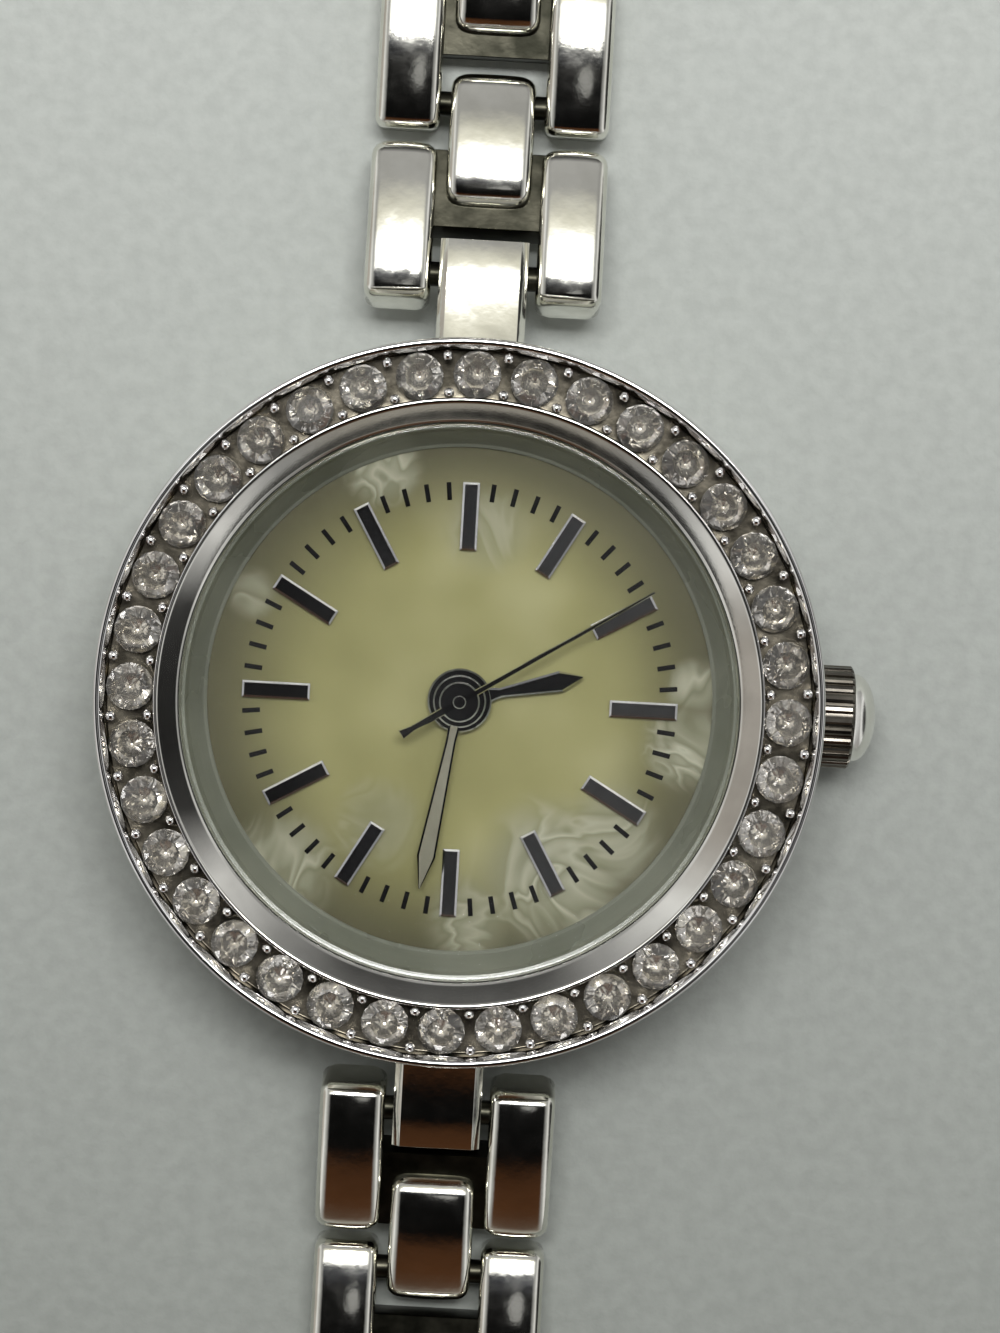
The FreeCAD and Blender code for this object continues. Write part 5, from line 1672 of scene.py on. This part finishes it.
@dataclass
class Stage:
    """The floor, the light round the watch and the camera."""

    floor_size: float = 1200.0
    floor_height: float = -0.01
    aim: Point3 = (1.371, 1.456, 7.5)
    tilt: float = 3.8
    roll: float = 3.2
    distance: float = 150.0
    lens: float = 114.5
    sensor: float = 36.0
    clip_start: float = 0.005
    lamp_place: Point3 = (10.0, 155.0, 470.0)
    lamp_size: Point2 = (260.0, 100.0)
    lamp_power: float = 1.95
    side_start: float = 0.34
    side_end: float = 0.62
    bands: tuple[tuple[float, Colour], ...] = (
        (-90, (0.42, 0.40, 0.36, 1.0)), (-68, (0.10, 0.06, 0.04, 1.0)), (-54, (0.075, 0.031, 0.013, 1.0)),
        (-42, (0.055, 0.023, 0.010, 1.0)), (-34, grey(0.003)), (0, grey(0.005)),
        (8, (0.03, 0.035, 0.05, 1.0)), (11, grey(2.0)), (22, grey(1.8)), (29, (0.92, 0.90, 0.78, 1.0)),
        (44, grey(0.42)), (64, grey(0.45)), (82, grey(0.10)), (90, grey(0.03)),
    )
    walls: tuple[tuple[float, Colour], ...] = (
        (0.0, (0.46, 0.43, 0.40, 1.0)), (0.03, (0.46, 0.43, 0.40, 1.0)), (0.10, grey(0.9)), (0.2, grey(0.4)),
        (0.8, grey(0.36)), (0.9, grey(0.9)), (0.965, grey(0.05)), (1.0, grey(0.02)),
    )
    patches: tuple[tuple[Point3, float, float, Colour], ...] = (((0.085, -0.08, 1.0), 3.0, 3.5, grey(0.32)),)

    def floor(self) -> None:
        """Lay the floor."""
        half = self.floor_size / 2
        z = self.floor_height
        mesh = mesh_from("floor", [(-half, -half, z), (half, -half, z), (half, half, z), (-half, half, z)],
                         [[0, 1, 2, 3]])
        mesh.materials.append(FINISHES.floor.material())
        new_object("floor", mesh)

    def blob(self, kit: NodeKit, ray: Socket, aim: Point3, wide: float, soft: float) -> Socket:
        """A soft round patch of the sky.

        Args:
            kit: The world's tree.
            ray: The direction looked in.
            aim: The patch's direction.
            wide: Its half angle in degrees.
            soft: The width of its soft edge in degrees.

        Returns:
            A factor that is 1 in the patch and 0 outside it.
        """
        dot = kit.calc("DOT_PRODUCT", ray, Vector(aim).normalized(), kind="VectorMath")
        start, end = (math.cos(math.radians(angle)) for angle in (wide + soft, wide))
        return kit.spread(dot, start, end, True)

    def sky(self) -> None:
        """Light the world with bands of sky, each seen at its own angle from the zenith towards twelve."""
        world = bpy.data.worlds.new("studio")
        bpy.context.scene.world = world
        world.use_nodes = True
        kit = NodeKit(world.node_tree)
        ray = kit.add("TexCoord").outputs["Generated"]
        axes = kit.add("SeparateXYZ", Vector=ray).outputs
        share = kit.spread(kit.calc("ARCTAN2", axes["Y"], axes["Z"]), -math.pi / 2, math.pi / 2)
        bands = kit.between(share, [((angle + 90) / 180, shade) for angle, shade in self.bands])
        aside = kit.spread(kit.calc("ABSOLUTE", axes["X"]), self.side_start, self.side_end, True)
        walls = kit.between(kit.spread(axes["X"], -1.0, 1.0), self.walls)
        room = kit.mix(aside, bands, walls)
        for aim, wide, soft, shade in self.patches:
            room = kit.mix(self.blob(kit, ray, aim, wide, soft), room, shade)
        back = kit.add("Background", Color=room, Strength=1.0)
        kit.link(back.outputs["Background"], kit.add("OutputWorld").inputs["Surface"])

    def lamp(self, name: str, place: Point3, size: Point2, power: float) -> None:
        """Hang an area lamp that faces the watch.

        Args:
            name: Its name.
            place: Its place in millimetres.
            size: Its width and depth in millimetres.
            power: Its power in watts.
        """
        light = bpy.data.lights.new(name, "AREA")
        light.shape = "RECTANGLE"
        light.size, light.size_y = size[0] * MM, size[1] * MM
        light.energy = power
        lamp = new_object(name, light)
        lamp.location = Vector(place) * MM
        lamp.rotation_euler = (-lamp.location).to_track_quat("-Z", "Y").to_euler()

    def camera(self) -> None:
        """Set the camera at the photograph's angle."""
        tilt, roll = math.radians(self.tilt), math.radians(self.roll)
        away = Vector((-math.sin(roll) * math.sin(tilt), math.cos(roll) * math.sin(tilt), math.cos(tilt)))
        upright = Vector((-math.sin(roll), math.cos(roll), 0.0))
        side = upright.cross(away).normalized()
        upright = away.cross(side)
        place = Vector(self.aim) * MM + away * self.distance * MM
        data = bpy.data.cameras.new("photo_camera")
        data.lens = self.lens
        data.sensor_width = self.sensor
        data.sensor_fit = "AUTO"
        data.clip_start = self.clip_start
        camera = new_object("photo_camera", data)
        turn = Matrix((side, upright, away)).transposed().to_4x4()
        camera.matrix_world = Matrix.Translation(place) @ turn
        bpy.context.scene.camera = camera

    def build(self) -> None:
        """Set the stage."""
        bpy.context.scene.view_settings.view_transform = "Standard"
        self.floor()
        self.sky()
        self.lamp("key", self.lamp_place, self.lamp_size, self.lamp_power)
        self.camera()


def main() -> None:
    """Build the watch's looks piece by piece."""
    logging.basicConfig(level=logging.INFO, format="%(message)s")
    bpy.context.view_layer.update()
    rings = RingPattern()
    Bezel().build(rings)
    Glazing().build()
    Face().build(rings)
    dark, edge, satin = FINISHES.dark_hand, FINISHES.edge, FINISHES.satin_hand
    pin = Hub(0.24, 5.85, 5.92, 0.09, 0.05)
    for hand in (
        Hand("hour_hand", "hour", 76.0, 4.95, 0.15, lance(4.5, 3.7, 0.75, 0.34, 0.75), dark, edge,
             [Hub(1.15, 4.95, 5.12)]),
        Hand("minute_hand", "minute", 189.0, 5.35, 0.15, lance(6.9, 5.7, 0.66, 0.36, 0.42), satin, dark,
             [Hub(0.95, 5.35, 5.52)]),
        Hand("second_hand", "second", 57.5, 5.75, 0.1, needle(8.0, 2.4), dark, edge,
             [Hub(0.73, 5.72, 5.85), pin], inset=0.03),
    ):
        hand.build()
    Crown().build(rings)
    refiner = Refiner(edge=0.1)
    refiner.dress("case_body", FINISHES.cast)
    refiner.dress("caseback", FINISHES.back)
    Strap().build(LinkPlace())
    Works().build()
    Stage().build()


if __name__ == "__main__":
    main()
